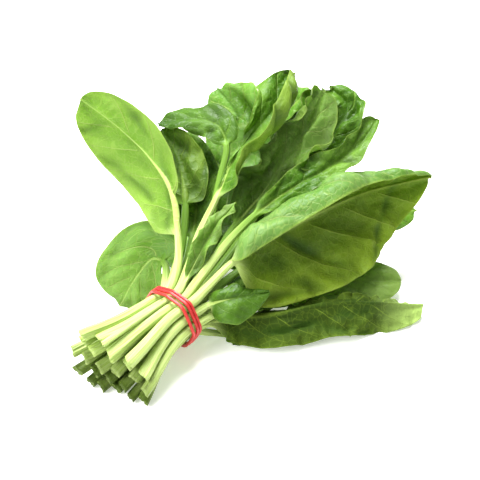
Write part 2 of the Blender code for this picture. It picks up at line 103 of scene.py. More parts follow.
LEAVES = (
    Leaf(
        "leaf_tall_left", (2, 0),
        ((-14, 22, 20), (-23, 33, 31), (-39, 46, 51), (-63, 54, 62), (-90, 54, 75), (-117, 49, 88)), 1,
        (18, 28), ((-0.5, 0.8, -0.1), (-0.3, 0.85, -0.45)), (6, 6), (-14, -10),
        widest=0.5, blunt=(1.8, 2.2), lobe=0.3, late=(0.24, 0.0), wave=(1.2, 1.5, 0.1),
        tone=Tone.BRIGHT, veins=4, puff=0.8, blister=0.1, ripple=0.5, creases=5, crease=1.0, pale=170,
        midrib=0.58,
    ),
    Leaf(
        "leaf_hanging_left", (0, 0),
        ((-23, 20, 4), (-32, 29, 10), (-41, 29, 9), (-46, 19, -1), (-49, 5, -18)), 1,
        (26, 27), ((0.5, -0.7, 0.6), (0.4, -0.6, 0.6)), (4, 4), (-20, -12),
        widest=0.5, blunt=(2.4, 2.2), lobe=0.42, wave=(1.2, 2.0, 0.5),
        veins=4, puff=0.9, blister=0.15, ripple=0.5, creases=7, crease=2.2, pale_and_painted_light=(-0.6, 0.3),
    ),
    Leaf(
        "leaf_left_bright", (1, 0),
        ((-20, 28, 15), (-27, 42, 25), (-37, 56, 37), (-55, 72, 52), (-78, 82, 66)), 2,
        (17, 18), ((-0.5, 0.8, -0.1), (-0.4, 0.8, -0.4)), (10, 10), (-10, -10),
        tone=Tone.DEEP_SHADE, creases=6, crease=2.0, midrib=0.15, sunk=0.35,
    ),
    Leaf(
        "leaf_left_inner", (0, 1),
        ((-17, 30, 8), (-27, 50, 19), (-38, 68, 32), (-55, 86, 44), (-80, 98, 57)), 1,
        (18, 16), ((0.4, -0.8, 0.5), (0.4, -0.7, 0.6)), (12, 12), (-10, -10),
        tone=Tone.DEEP_SHADE, creases=4, crease=1.5, sunk=0.5,
    ),
    Leaf(
        "leaf_top_folded", (2, 1),
        (
            (-7, 24, 20), (-13, 40, 31), (-17, 62, 46), (-22, 89, 65), (-19, 104, 76), (-17, 121, 86),
            (-25, 150, 95),
        ), 2,
        (16, 34), ((0.1, -0.6, 0.8), (0.5, -0.5, 0.6)), (20, 5), (0, 60), tip_curl=(0, 205),
        widest=0.62, blunt=(1.5, 1.6), lobe=0.0, late=(0.4, 0.0), wave=(2.5, 2.0, 0.3),
        tone=Tone.DEEP_SHADE, blister=0.4, ripple=1.0, creases=7, crease=2.6, pale=120, midrib=0.2, ruffle=5.5,
    ),
    Leaf(
        "leaf_arched_over", (1, 1),
        (
            (-11, 30, 14), (-18, 58, 33), (-28, 80, 50), (-33, 92, 65), (-43, 97, 73), (-62, 93, 74),
            (-81, 82, 68),
        ), 3,
        (12, 13), ((0.3, -0.7, 0.6), (0.2, 0.3, 0.9)), (15, 15), (-20, -20), wave=(2.0, 2.0, 0.0),
        tone=Tone.DARK_SHADE, creases=4, crease=1.6, midrib=0.3, ruffle=1.5,
    ),
    Leaf(
        "leaf_shaded_upright", (0, 2),
        ((-8, 30, 8), (-16, 60, 19), (-31, 92, 34), (-49, 113, 48), (-65, 127, 62)), 1,
        (18, 24), ((0.4, -0.8, 0.4), (0.4, -0.7, 0.5)), (10, 10), (-10, -10),
        creases=6, crease=2.6, midrib=0.3, ruffle=2.0, sunk=0.6,
    ),
    Leaf(
        "leaf_centre_cupped", (1, 2),
        ((-2, 34, 13), (-5.5, 66, 29), (-3, 92, 43), (-1, 114, 60), (3, 132, 77), (4, 144, 96)), 1,
        (19, 18), ((0.2, -0.7, 0.6), (0.5, -0.6, 0.6)), (5, 20), (40, 15), tip_curl=(95, 30),
        widest=0.5, blunt=(2.0, 2.4), wave=(4.5, 2.5, 0.2),
        blister=0.6, ripple=1.0, creases=11, crease=4.6, midrib=0.1, ruffle=3.0, pale_and_painted_light=(-0.6, 0.3), sunk=0.8,
    ),
    Leaf(
        "leaf_top_right", (1, 3),
        ((4, 34, 13), (2, 90, 35), (5, 126, 50), (10, 150, 66), (8, 165, 77), (-7, 166, 85)), 1,
        (30, 13), ((0.2, -0.5, 0.8), (0.4, -0.5, 0.7)), (15, 15), (0, -20), tip_curl=(70, -20),
        widest=0.55, blunt=(2.0, 2.6), wave=(3.0, 3.0, 0.6),
        tone=Tone.DEEP_SHADE, blister=0.9, ripple=1.0, creases=11, crease=4.4, midrib=0.1, ruffle=3.5, sunk=0.7,
    ),
    Leaf(
        "leaf_long_right", (2, 2),
        (
            (4, 22, 19), (7, 42, 33), (12, 62, 45), (19, 92, 54), (26, 125, 58), (29, 154, 64),
            (26, 173, 70),
        ), 2,
        (11, 10), ((0.4, -0.4, 0.8), (0.2, -0.7, 0.6)), (10, 0), (0, 0), tip_curl=(100, 80),
        widest=0.55, blunt=(1.8, 2.4), lobe=0.0, wave=(1.5, 2.0, 0.0), blister=0.6, ripple=0.8,
        tone=Tone.DEEP_SHADE, creases=7, crease=2.0, pale=70, midrib=0.3, ruffle=1.5, pale_and_painted_light=(0.3, 0.15),
    ),
    Leaf(
        "leaf_big_front", (2, 3),
        ((11, 22, 16), (13, 40, 23), (19, 72, 28), (28, 104, 32), (40, 140, 35), (64, 182, 37)), 1,
        (48, 45), ((-0.71, 0.19, -0.67), (-0.6, 0.5, -0.6)), (0, 0), (-10, -195), tip_curl=(-10, -150),
        widest=0.5, blunt=(2.4, 1.25), lobe=0.4, wave=(1.0, 1.5, 0.0),
        tone=Tone.OLIVE, veins=5, puff=1.3, blister=0.3, ripple=0.8, swell=1.4,
        creases=6, crease=2.0, pale=150, midrib=0.85,
    ),
    Leaf(
        "leaf_short_right", (1, 4),
        ((15.5, 16, 7), (23, 21, 11), (31, 31, 12), (38, 45, 10)), 0,
        (9, 16), ((0.5, -0.5, 0.8), (0.5, -0.4, 0.8)), (5, 5), (-20, -20), blunt=(1.8, 1.25),
        tone=Tone.DARK_SHADE, veins=4, creases=4, crease=1.4, midrib=0.4,
    ),
    Leaf(
        "leaf_right_peeking", (0, 3),
        ((7, 34, 6), (14, 64, 14), (24, 108, 17), (38, 142, 15), (58, 178, 11)), 1,
        (20, 20), ((0.4, -0.2, 0.9), (0.4, -0.3, 0.9)), (10, 10), (-15, -15),
        tone=Tone.BRIGHT,
    ),
    Leaf(
        "leaf_right_under", (0, 4),
        ((14, 36, 1), (22, 60, 4), (35, 94, 4), (46, 122, 0), (52, 145, -3)), 0,
        (10, 17), ((0.5, -0.2, 0.8), (0.4, -0.3, 0.9)), (10, 10), (-15, -15),
    ),
    Leaf(
        "leaf_right_pale", (-1, 3),
        ((11, 30, -6), (17, 50, -7), (32, 84, -10), (52, 112, -13), (76, 134, -14)), 1,
        (17, 20), ((0.0, -0.1, 0.9), (0.1, -0.3, 0.9)), (10, 10), (-15, -15),
        blunt=(2.0, 2.8), creases=6, crease=2.0, midrib=0.5, pale_and_painted_light=(-0.6, 0.8),
    ),
    Leaf(
        "leaf_small_pointed", (0, 5),
        ((20, 28, 0), (27, 45, 1), (32, 56, 1), (35, 48, -0.5), (35, 39, -1)), 2,
        (6, 8), ((0.5, -0.5, 0.7), (0.9, -0.3, 0.3)), (10, 10), (-10, -10), widest=0.35,
        blunt=(2.0, 1.1), lobe=0.1, thin=0.85, veins=3, tone=Tone.DEEP_SHADE,
    ),
    Leaf(
        "leaf_low_long", (-1, 4),
        ((14.5, 14, -7), (22, 26, -6), (44, 44, -3), (63, 72, -2), (82, 95, -6), (100, 124, -16)), 0,
        (21, 10), ((0.1, 0.0, -1.0), (0.1, 0.0, -1.0)), (58, 20), (-10, -10),
        widest=0.45, blunt=(2.4, 2.6), lobe=0.0, wave=(1.5, 3.0, 0.0),
        tone=Tone.DUSKY, veins=6, puff=1.2, ripple=1.6, creases=9, crease=2.2, midrib=0.2,
        pale_and_painted_light=(0.72, 0.95),
    ),
    Leaf(
        "leaf_small_low", (-2, 3),
        ((13, 18, -16), (20, 27, -20), (33, 33, -24)), 1,
        (6, 6), ((0.2, -0.2, 0.9), (0.0, 0.0, 1.0)), (0, 0), (0, 0), thin=0.85, veins=3, tone=Tone.DEEP_SHADE,
    ),
    Leaf(
        "leaf_back_high", (-1, 1),
        ((-12, 34, 1), (-22, 70, 12), (-35, 103, 26), (-48, 128, 43), (-64, 140, 57), (-84, 144, 68)), 2,
        (24, 24), ((0.3, -0.8, 0.4), (0.3, -0.6, 0.6)), (15, 15), (-20, -20), widest=0.55,
        ripple=1.0, creases=11, crease=4.5, midrib=0.2, ruffle=3.5, sunk=0.5,
    ),
    Leaf(
        "leaf_back_far", (-1, 2),
        ((-6, 36, 0), (-13, 76, 11), (-22, 116, 26), (-34, 146, 46), (-37, 163, 60), (-40, 174, 73)), 2,
        (22, 25), ((0.3, -0.8, 0.4), (0.3, -0.6, 0.6)), (15, 15), (-20, -20), widest=0.55,
        ripple=1.0, blister=0.6, creases=11, crease=4.5, midrib=0.1, ruffle=3.5, sunk=0.5,
    ),
    Leaf(
        "leaf_low_back_left", (-1, 0),
        ((-19, 30, -7), (-33, 53, -12), (-54, 80, -19), (-77, 100, -24)), 1,
        (18, 15), ((0.0, 0.0, 1.0), (0.1, 0.0, 1.0)), (6, 6), (-10, -10),
    ),
    Leaf(
        "leaf_low_left", (-2, 0),
        ((-13, 26, -15), (-22, 44, -19), (-34, 62, -23), (-46, 82, -24)), 1,
        (15, 14), ((0.0, 0.0, 1.0), (0.0, 0.0, 1.0)), (0, 0), (0, 0), wave=(0.6, 2.0, 0.0),
        tone=Tone.DEEP_SHADE,
    ),
    Leaf(
        "leaf_low_back", (-2, 1),
        ((-5, 30, -10), (-11, 60, -3), (-22, 98, 9), (-36, 140, 16)), 1,
        (22, 22), ((0.1, -0.4, 1.0), (0.0, -0.3, 1.0)), (6, 6), (-10, -10),
    ),
    Leaf(
        "leaf_low_middle", (-2, 2),
        ((4, 30, -14), (4, 60, -18), (6, 104, -21), (12, 150, -24)), 1,
        (24, 20), ((0.0, 0.0, 1.0), (0.0, 0.0, 1.0)), (6, 6), (-10, -10),
        tone=Tone.DEEP_SHADE,
    ),
    Leaf(
        "leaf_narrow_on_stems", None,
        ((-1, 14, 18), (-2, 26, 27), (-3, 42, 39), (-1, 62, 50)), 0,
        (7.5, 7), ((0.3, -0.6, 0.7), (0.4, -0.5, 0.7)), (25, 35), (-10, -10), blunt=(1.5, 1.6), lobe=0.0,
        thin=0.5, veins=4, puff=0.4, creases=10, crease=2.2, midrib=0.3, ripple=1.2, pale_and_painted_light=(-0.6, 0.4),
    ),
)


def smooth(value: np.ndarray, low: float, high: float) -> np.ndarray:
    """Goes from 0 at low to 1 at high with a soft start and end: 3t squared minus 2t cubed."""
    t = np.clip((np.asarray(value, float) - low) / (high - low), 0.0, 1.0)
    return t * t * (3 - 2 * t)


def unit(vectors: np.ndarray) -> np.ndarray:
    """Each vector divided by its length."""
    return vectors / np.maximum(np.linalg.norm(vectors, axis=-1, keepdims=True), 1e-9)


def curve_at(points: np.ndarray, places: np.ndarray) -> np.ndarray:
    """Smooth curve through points.

    Between two points it is the cubic that has their places and slopes, and a point's slope is the
    difference of its neighbours by distance, as in the CAD source.

    Args:
        points: The points, one row each.
        places: Distances along the straight lines between the points.

    Returns:
        A point of the curve for each place.
    """
    marks = marks_of(points)
    slopes = np.gradient(points, marks, axis=0)
    k = np.clip(np.searchsorted(marks, places, side="right") - 1, 0, len(marks) - 2)
    step = (marks[k + 1] - marks[k])[:, None]
    t = (places - marks[k])[:, None] / step
    start, leave = (1 + 2 * t) * (1 - t) ** 2, t * (1 - t) ** 2
    end, arrive = t * t * (3 - 2 * t), t * t * (t - 1)
    first = start * points[k] + leave * step * slopes[k]
    return first + end * points[k + 1] + arrive * step * slopes[k + 1]


def marks_of(points: np.ndarray) -> np.ndarray:
    """Distance of each point from the first, along the straight lines between them."""
    return np.concatenate([[0.0], np.cumsum(np.linalg.norm(np.diff(points, axis=0), axis=1))])


@dataclass
class Swells:
    """Seeded smooth unevenness: the mean of plane waves of random direction, length and start."""

    random: np.random.Generator
    shortest: float
    longest: float
    count: int = 7
    turns: np.ndarray = field(init=False)
    starts: np.ndarray = field(init=False)

    def __post_init__(self) -> None:
        """Draws the waves."""
        lengths = self.random.uniform(self.shortest, self.longest, self.count)
        angles = self.random.uniform(0, 2 * math.pi, self.count)
        self.turns = 2 * math.pi / lengths * np.stack([np.cos(angles), np.sin(angles)])
        self.starts = self.random.uniform(0, 2 * math.pi, self.count)

    def at(self, x: np.ndarray, y: np.ndarray) -> np.ndarray:
        """Height at each place, mostly from -1 to 1: the waves' sum over the root of half their number."""
        phase = x[..., None] * self.turns[0] + y[..., None] * self.turns[1] + self.starts
        return np.sin(phase).sum(-1) / math.sqrt(self.count / 2) / 1.5


@dataclass
class Bundle:
    """Stems in rows under the band, with the values of the CAD source."""

    height: float = 23.0  # middle of the band above the table
    x: float = 7.4
    y: float = -59.0
    rows: dict = field(default_factory=lambda: {2: 4, 1: 5, 0: 6, -1: 5, -2: 4})
    pitch: float = 6.6
    row_pitch: float = 5.72
    radius: float = 3.0
    at_cut: float = 1.16
    at_blade: float = 0.72
    squeezed: float = 9.0
    cut_spread: tuple = (1.3, 1.45)
    cut_lift: tuple = (1.75, 1.5)
    cut_droop: float = 0.6
    droop_from: float = -8.0
    cut_apart: float = 7.8
    apart_rounds: int = 200
    length: float = 57.0
    length_by_side: float = 0.45
    length_jitter: float = 4.5
    side_jitter: float = 1.2
    gap: float = 0.3

    def slot_centre(self, leaf: Leaf) -> tuple[float, float]:
        """Where the leaf's stem passes the band, as x and z."""
        if leaf.slot is None:
            reach = self.radius * (1 + leaf.thin) + self.gap
            return 0.0, 2 * self.row_pitch + math.sqrt(reach**2 - (self.pitch / 2) ** 2)
        row, column = leaf.slot
        return (column - (self.rows[row] - 1) / 2) * self.pitch, row * self.row_pitch

    def cut_places(self, jitters: np.ndarray) -> np.ndarray:
        """Middles of the cut ends, as x and z: spread from the band, sunk on the right, then pushed apart.

        In each round two ends that lie nearer than the least distance each move off by half of what is
        missing, along the line between them, and none goes below the table.

        Args:
            jitters: Three random numbers from -1 to 1 for each leaf.

        Returns:
            A row for each leaf.
        """
        x, z = np.array([self.slot_centre(leaf) for leaf in LEAVES]).T
        spread_x = np.where(x > 0, self.cut_spread[1], self.cut_spread[0]) * x
        spread_z = np.where(z > 0, self.cut_lift[1], self.cut_lift[0]) * z
        spread_z = spread_z - self.cut_droop * np.clip(x - self.droop_from, 0, None)
        places = np.stack([spread_x, spread_z], axis=1) + self.side_jitter * jitters[:, 1:]
        lowest = self.radius * self.at_cut * np.array([leaf.thin for leaf in LEAVES]) - self.height
        for _ in range(self.apart_rounds):
            away = places[:, None] - places[None]
            distance = np.linalg.norm(away, axis=-1) + self.cut_apart * np.eye(len(places))
            push = np.clip(self.cut_apart - distance, 0, None) / distance / 2
            places = places + (push[..., None] * away).sum(axis=1)
            places[:, 1] = np.maximum(places[:, 1], lowest)
        return places

    def stem_points(self, leaf: Leaf, jitter: np.ndarray, cut_place: np.ndarray) -> list[np.ndarray]:
        """Cut end and the straight piece under the band.

        Args:
            leaf: The leaf.
            jitter: Three random numbers from -1 to 1.
            cut_place: Middle of the cut end, as x and z.

        Returns:
            Three points.
        """
        x, z = self.slot_centre(leaf)
        length = self.length - self.length_by_side * x + self.length_jitter * jitter[0]
        cut = np.array([cut_place[0], -length, cut_place[1]])
        return [cut, np.array([x, -self.squeezed, z]), np.array([x, self.squeezed, z])]

    def place(self, points: np.ndarray) -> np.ndarray:
        """Points of the bunch's own frame, in world metres."""
        return (points + np.array([self.x, self.y, self.height])) * MM


class Board:
    """Node tree of one material, with short calls for its nodes."""

    def __init__(self, name: str) -> None:
        """Makes the material with an empty tree."""
        self.material = bpy.data.materials.new(name)
        self.material.use_nodes = True
        self.tree = self.material.node_tree
        self.tree.nodes.clear()

    def put(self, socket: bpy.types.NodeSocket, value: object) -> None:
        """Links or sets an input, whichever the value asks for."""
        if isinstance(value, bpy.types.NodeSocket):
            self.tree.links.new(value, socket)
        elif isinstance(value, tuple) and socket.type == "RGBA":
            socket.default_value = (*value[:3], 1.0)
        else:
            socket.default_value = value

    def node(self, kind: str, inputs: dict | None = None, **settings: object) -> bpy.types.Node:
        """Adds a node.

        Args:
            kind: Its type after the word ShaderNode.
            inputs: Values or sockets by input name or number.
            **settings: Properties of the node.

        Returns:
            The node.
        """
        made = self.tree.nodes.new("ShaderNode" + kind)
        for key, value in settings.items():
            setattr(made, key, value)
        for key, value in (inputs or {}).items():
            self.put(made.inputs[key], value)
        return made

    def attribute(self, name: str) -> bpy.types.NodeSocket:
        """A number kept at the mesh's points."""
        return self.node("Attribute", attribute_name=name).outputs["Fac"]

    def math(self, operation: str, *values: object, clamp: bool = False) -> bpy.types.NodeSocket:
        """Result of one sum."""
        return self.node("Math", dict(enumerate(values)), operation=operation, use_clamp=clamp).outputs[0]

    def mix(self, share: object, first: object, second: object) -> bpy.types.NodeSocket:
        """First colour at share 0, second at 1."""
        made = self.node("Mix", data_type="RGBA")
        self.put(made.inputs[0], share)
        self.put(made.inputs[6], first)
        self.put(made.inputs[7], second)
        return made.outputs[2]

    def times(self, first: object, second: object) -> bpy.types.NodeSocket:
        """The first times the second."""
        return self.math("MULTIPLY", first, second)

    def plus(self, first: object, second: object) -> bpy.types.NodeSocket:
        """The first plus the second."""
        return self.math("ADD", first, second)

    def rest(self, value: object) -> bpy.types.NodeSocket:
        """What is missing from the value to 1."""
        return self.math("SUBTRACT", 1.0, value)

    def between(
        self, value: object, low: float, high: float, start: float = 0.0, end: float = 1.0
    ) -> bpy.types.NodeSocket:
        """Goes from start at low to end at high with a soft step."""
        made = self.node(
            "MapRange",
            {"Value": value, "From Min": low, "From Max": high, "To Min": start, "To Max": end},
            interpolation_type="SMOOTHSTEP",
        )
        return made.outputs[0]

    def noise(
        self, vector: object, scale: float, detail: float = 2.0, stretch: tuple | None = None
    ) -> bpy.types.NodeSocket:
        """Noise from 0 to 1, stretched where asked."""
        if stretch is not None:
            vector = self.node("Mapping", {"Vector": vector, "Scale": stretch}).outputs[0]
        return self.node("TexNoise", {"Vector": vector, "Scale": scale, "Detail": detail}).outputs["Fac"]


@dataclass(frozen=True)
class Marks:
    """What a leaf's colours and relief are mixed by, as numbers from 0 to 1 at each place of the skin.

    Side veins are lines where the point number "vein" is near 0, and the midrib is where "rib" is. The net
    of fine veins comes from the edges of cells on the leaf's own map, and the streaks run along the stem.
    """

    board: Board
    line: bpy.types.NodeSocket  # side veins
    rib: bpy.types.NodeSocket  # midrib
    net: bpy.types.NodeSocket  # net of fine veins
    patch: bpy.types.NodeSocket  # broad noise
    grain: bpy.types.NodeSocket  # fine noise
    streak: bpy.types.NodeSocket  # streaks of the stem
    pucker: bpy.types.NodeSocket  # small unevenness of the blade
    upper: bpy.types.NodeSocket  # 1 on the upper face
    blade: bpy.types.NodeSocket  # 1 on the blade, 0 on the stem
    green: bpy.types.NodeSocket  # 1 where the stem has turned green

    @classmethod
    def on(cls, b: Board) -> "Marks":
        """Adds the nodes to a board."""
        here = b.node("TexCoord").outputs["Object"]
        flat = b.node("UVMap", uv_map="UVMap").outputs[0]
        wobble = b.node("TexNoise", {"Vector": flat, "Scale": 22.0}).outputs["Color"]
        shift = b.node("VectorMath", {0: wobble, 1: (0.03, 0.03, 0.0)}, operation="MULTIPLY").outputs[0]
        moved = b.node("VectorMath", {0: flat, 1: shift}, operation="ADD").outputs[0]
        cells = b.node("TexVoronoi", {"Vector": moved, "Scale": 26.0}, feature="DISTANCE_TO_EDGE")
        return cls(
            board=b,
            line=b.between(b.math("ABSOLUTE", b.attribute("vein")), 0.25, 1.1, 1.0, 0.0),
            rib=b.between(b.math("ABSOLUTE", b.attribute("rib")), 0.55, 1.25, 1.0, 0.0),
            net=b.between(cells.outputs["Distance"], 0.0, 0.09, 1.0, 0.0),
            patch=b.between(b.noise(here, 34.0, 4.0), 0.35, 0.65),
            grain=b.between(b.noise(here, 900.0, 2.0), 0.3, 0.7),
            streak=b.between(b.noise(flat, 14.0, 3.0, (9.0, 0.35, 1.0)), 0.35, 0.7),
            pucker=b.noise(flat, 21.0, 4.0),
            upper=b.attribute("upper"),
            blade=b.attribute("blade"),
            green=b.attribute("green"),
        )


@dataclass(frozen=True)
class LeafFinish:
    """Colours of a leaf, as linear red, green and blue, and how much light passes through the blade."""

    name: str
    upper: tuple
    upper_dark: tuple
    under: tuple
    under_dark: tuple
    vein: tuple = (0.344, 0.459, 0.107)
    under_vein: tuple = (0.344, 0.451, 0.098)
    glow: tuple = (0.312, 0.508, 0.033)  # light that has passed through the blade
    share: float = 0.38  # how much light passes through it
    stem_share: float = 0.15  # and through the stem
    stem: tuple = (0.52, 0.64, 0.23)
    stem_green: tuple = (0.31, 0.47, 0.04)
    shaded: tuple = (0.139, 0.271, 0.029)  # painted shade: the darker green of the stem between the leaves
    # dark green of the cut ends, on the lower stems much darker as painted shade
    cut: tuple = (0.042, 0.076, 0.001)
    # paler green mixed in from a place along the blade; on some leaves it is painted sheen and light
    pale_and_painted_light: tuple = (0.29, 0.42, 0.1)
    # painted shade: green mixed in by the deep number, in the valleys of folds, beside the side veins and
    # near the base of leaves deep in the bunch
    hollow: tuple = (0.028, 0.07, 0.005)
    rough: float = 0.42
    under_rough: float = 0.5
    rough_spread: float = 0.1  # the patches are rougher by up to this much
    shine: float = 0.2
    net_share: tuple = (0.3, 0.26)  # how clearly the net shows, on the upper and on the under face
    line_share: tuple = (0.75, 0.6)  # and the side veins
    relief_net: float = 0.4  # height of the net, times that of the side veins
    relief_pucker: float = 2.2
    relief_grain: float = 0.06
    relief_streak: float = 0.35

    def sheet_colour(self, m: Marks) -> bpy.types.NodeSocket:
        """Colour of the blade.

        Each face mixes two greens by broad noise, and the underside also by the way out to the margin:
        painted light makes it lighter there and painted shade darker near the midrib. Veins lie on them.
        Valleys and the bases of leaves deep in the bunch are painted darker as shade, some places paler,
        partly as painted sheen and light, and the outermost margin paler as painted light on the thin edge.

        Args:
            m: What the colours are mixed by.

        Returns:
            The colour.
        """
        b = m.board
        front = b.mix(m.patch, self.upper_dark, self.upper)
        front = b.mix(b.times(m.net, self.net_share[0]), front, self.vein)
        front = b.mix(b.times(m.line, self.line_share[0]), front, self.vein)
        # painted light and shade on the underside: lighter towards the margin, darker near the midrib where
        # shade falls
        outer = b.between(b.attribute("edge"), 0.35, 1.0)
        light = b.math("ADD", b.times(m.patch, 0.35), b.times(outer, 0.9), clamp=True)
        back = b.mix(light, self.under_dark, self.under)
        back = b.mix(b.times(m.net, self.net_share[1]), back, self.under_vein)
        back = b.mix(b.times(m.line, self.line_share[1]), back, self.under_vein)
        # painted shade: darker where the deep number is high
        sunk = b.math("MULTIPLY", b.attribute("deep"), 0.85, clamp=True)
        sheet = b.mix(sunk, b.mix(m.upper, back, front), self.hollow)
        # paler from a place along the blade, on some leaves as painted sheen and light
        sheet = b.mix(b.attribute("pale_and_painted_light"), sheet, self.pale_and_painted_light)
        # painted light: the outermost margin is paler, as light on the thin edge
        sheet = b.mix(b.between(b.attribute("edge"), 0.94, 1.0, 0.0, 0.45), sheet, self.under_vein)
        return b.mix(b.times(m.grain, 0.1), sheet, self.upper_dark)

    def colour(self, m: Marks) -> bpy.types.NodeSocket:
        """Colour of the whole leaf: a streaked stem, which turns into the midrib on the blade.

        Args:
            m: What the colours are mixed by.

        Returns:
            The colour.
        """
        b = m.board
        sheet = self.sheet_colour(m)
        stem = b.mix(b.times(m.streak, 0.6), self.stem, self.stem_green)
        stem = b.mix(m.green, b.mix(b.attribute("cut"), stem, self.cut), self.shaded)
        pale = tuple((first + second) / 2 for first, second in zip(self.stem, self.stem_green))
        midrib = b.mix(m.green, pale, b.mix(0.35, sheet, self.under_vein))
        return b.mix(m.blade, stem, b.mix(m.rib, sheet, midrib))

    def relief(self, m: Marks) -> bpy.types.NodeSocket:
        """Fine bump: veins, net and pucker sunk into the upper face and raised on the other, and streaks.

        Args:
            m: What the relief is made of.

        Returns:
            The changed normal.
        """
        b = m.board
        veins = b.plus(m.line, b.times(m.net, self.relief_net))
        sheet = b.plus(veins, b.times(m.pucker, self.relief_pucker))
        sheet = b.times(sheet, b.between(m.upper, 0.0, 1.0, 1.0, -1.0))
        height = b.plus(b.times(sheet, m.blade), b.times(m.grain, self.relief_grain))
        height = b.plus(height, b.times(m.streak, b.times(b.rest(m.blade), self.relief_streak)))
        return b.node("Bump", {"Strength": 0.6, "Distance": 0.0006, "Height": height}).outputs[0]

    def make(self) -> bpy.types.Material:
        """Builds the material: a skin, and a Translucent share by which light passes the blade and stem."""
        b = Board("leaf_" + self.name)
        m = Marks.on(b)
        bump = self.relief(m)
        half = self.rough_spread / 2
        base = b.between(m.upper, 0.0, 1.0, self.under_rough - half, self.rough - half)
        skin = b.node(
            "BsdfPrincipled",
            {
                "Base Color": self.colour(m),
                "Roughness": b.plus(b.times(m.patch, self.rough_spread), base),
                "Normal": bump,
                "Specular IOR Level": self.shine,
            },
        ).outputs[0]
        passed = b.mix(b.times(m.line, 0.35), self.glow, self.under_dark)
        through = b.node("BsdfTranslucent", {"Color": passed, "Normal": bump}).outputs[0]
        thinness = b.times(m.blade, b.rest(b.times(m.rib, 0.8)))
        share = b.math("MAXIMUM", b.times(thinness, self.share), b.times(b.rest(m.blade), self.stem_share))
        both = b.node("MixShader", {0: share, 1: skin, 2: through}).outputs[0]
        b.node("OutputMaterial", {"Surface": both})
        return b.material


@dataclass(frozen=True)
class RubberFinish:
    """Coral red rubber."""

    colour: tuple = (0.47, 0.013, 0.005)
    dusty: tuple = (0.44, 0.028, 0.035)
    rough: float = 0.3

    def make(self) -> bpy.types.Material:
        """Builds the material: two reds mixed by noise stretched along the band, with a fine bump."""
        b = Board("rubber")
        flat = b.node("UVMap", uv_map="UVMap").outputs[0]
        here = b.node("TexCoord").outputs["Object"]
        streak = b.between(b.noise(flat, 6.0, 3.0, (1.0, 6.0, 1.0)), 0.35, 0.7)
        grain = b.noise(here, 1500.0, 2.0)
        bump = b.node("Bump", {"Strength": 0.25, "Distance": 0.0002, "Height": grain}).outputs[0]
        rough = b.math("ADD", b.math("MULTIPLY", streak, 0.15), self.rough)
        skin = b.node(
            "BsdfPrincipled",
            {
                "Base Color": b.mix(streak, self.colour, self.dusty),
                "Roughness": rough,
                "Normal": bump,
                "Subsurface Weight": 0.05,
                "Subsurface Radius": (0.8, 0.2, 0.1),
                "Subsurface Scale": MM,
            },
        ).outputs[0]
        b.node("OutputMaterial", {"Surface": skin})
        return b.material


@dataclass(frozen=True)
class FloorFinish:
    """White table top with a faint greenish glow of its own: painted light that makes the shadows on it thin.
    """

    colour: tuple = (0.84, 0.84, 0.84)
    rough: float = 0.55
    shine: float = 0.2
    # painted light: colour and strength of the glow that fills the shadows on the table
    glow: tuple = (0.94, 1.0, 0.84)
    strength: float = 0.42

    def make(self) -> bpy.types.Material:
        """Builds the material."""
        b = Board("floor")
        skin = b.node(
            "BsdfPrincipled",
            {
                "Base Color": self.colour,
                "Roughness": self.rough,
                "Specular IOR Level": self.shine,
                "Emission Color": self.glow,
                "Emission Strength": self.strength,
            },
        )
        b.node("OutputMaterial", {"Surface": skin.outputs[0]})
        return b.material


def piece(
    name: str, points: np.ndarray, faces: np.ndarray, flat: np.ndarray, numbers: dict
) -> bpy.types.Object:
    """Makes a shown piece from four-sided faces.

    Args:
        name: Its name, which is that of the CAD node it stands for.
        points: World points in metres.
        faces: Point numbers, four a face.
        flat: Map place of each point.
        numbers: Arrays of one number a point, by attribute name.

    Returns:
        The object.
    """
    mesh = bpy.data.meshes.new(name)
    count = len(faces)
    triangles = np.concatenate([points[faces[:, [0, 1, 2]]], points[faces[:, [0, 2, 3]]]])
    if np.linalg.det(triangles).sum() < 0:  # the volume is less than 0, so the faces look inwards
        faces = faces[:, ::-1]
    mesh.vertices.add(len(points))
    mesh.vertices.foreach_set("co", points.astype(np.float32).ravel())
    mesh.loops.add(4 * count)
    mesh.loops.foreach_set("vertex_index", faces.astype(np.int32).ravel())
    mesh.polygons.add(count)
    mesh.polygons.foreach_set("loop_start", np.arange(0, 4 * count, 4, dtype=np.int32))
    mesh.update(calc_edges=True)
    mesh.shade_smooth()
    for key, values in numbers.items():
        kept = mesh.attributes.new(key, "FLOAT", "POINT")
        kept.data.foreach_set("value", values.astype(np.float32).ravel())
    layer = mesh.uv_layers.new(name="UVMap")
    layer.data.foreach_set("uv", flat[faces.ravel()].astype(np.float32).ravel())
    made = bpy.data.objects.new(name + "_fine", mesh)
    bpy.context.scene.collection.objects.link(made)
    return made


def ring_faces(count: int, around: int) -> np.ndarray:
    """Faces between neighbouring rings: point j of ring k, its neighbour, and the same two of ring k + 1."""
    k = np.arange(count - 1)[:, None] * around
    j = np.arange(around)[None]
    after = (j + 1) % around
    return np.stack([k + j, k + after, k + around + after, k + around + j], -1).reshape(-1, 4)


def end_faces(start: int, around: int) -> np.ndarray:
    """Faces that close a ring whose second half runs back under its first."""
    j = np.arange(around // 2 - 1)
    return start + np.stack([j, around - 1 - j, around - 2 - j, j + 1], -1)


def normals(grid: np.ndarray) -> np.ndarray:
    """Directions square to a surface: the cross product of its slopes across and along."""
    return unit(np.cross(np.gradient(grid, axis=1), np.gradient(grid, axis=0)))


def bell(values: np.ndarray) -> np.ndarray:
    """Falls from 1 at 0 towards 0 on both sides: e to the power of minus the square."""
    return np.exp(-(values**2))


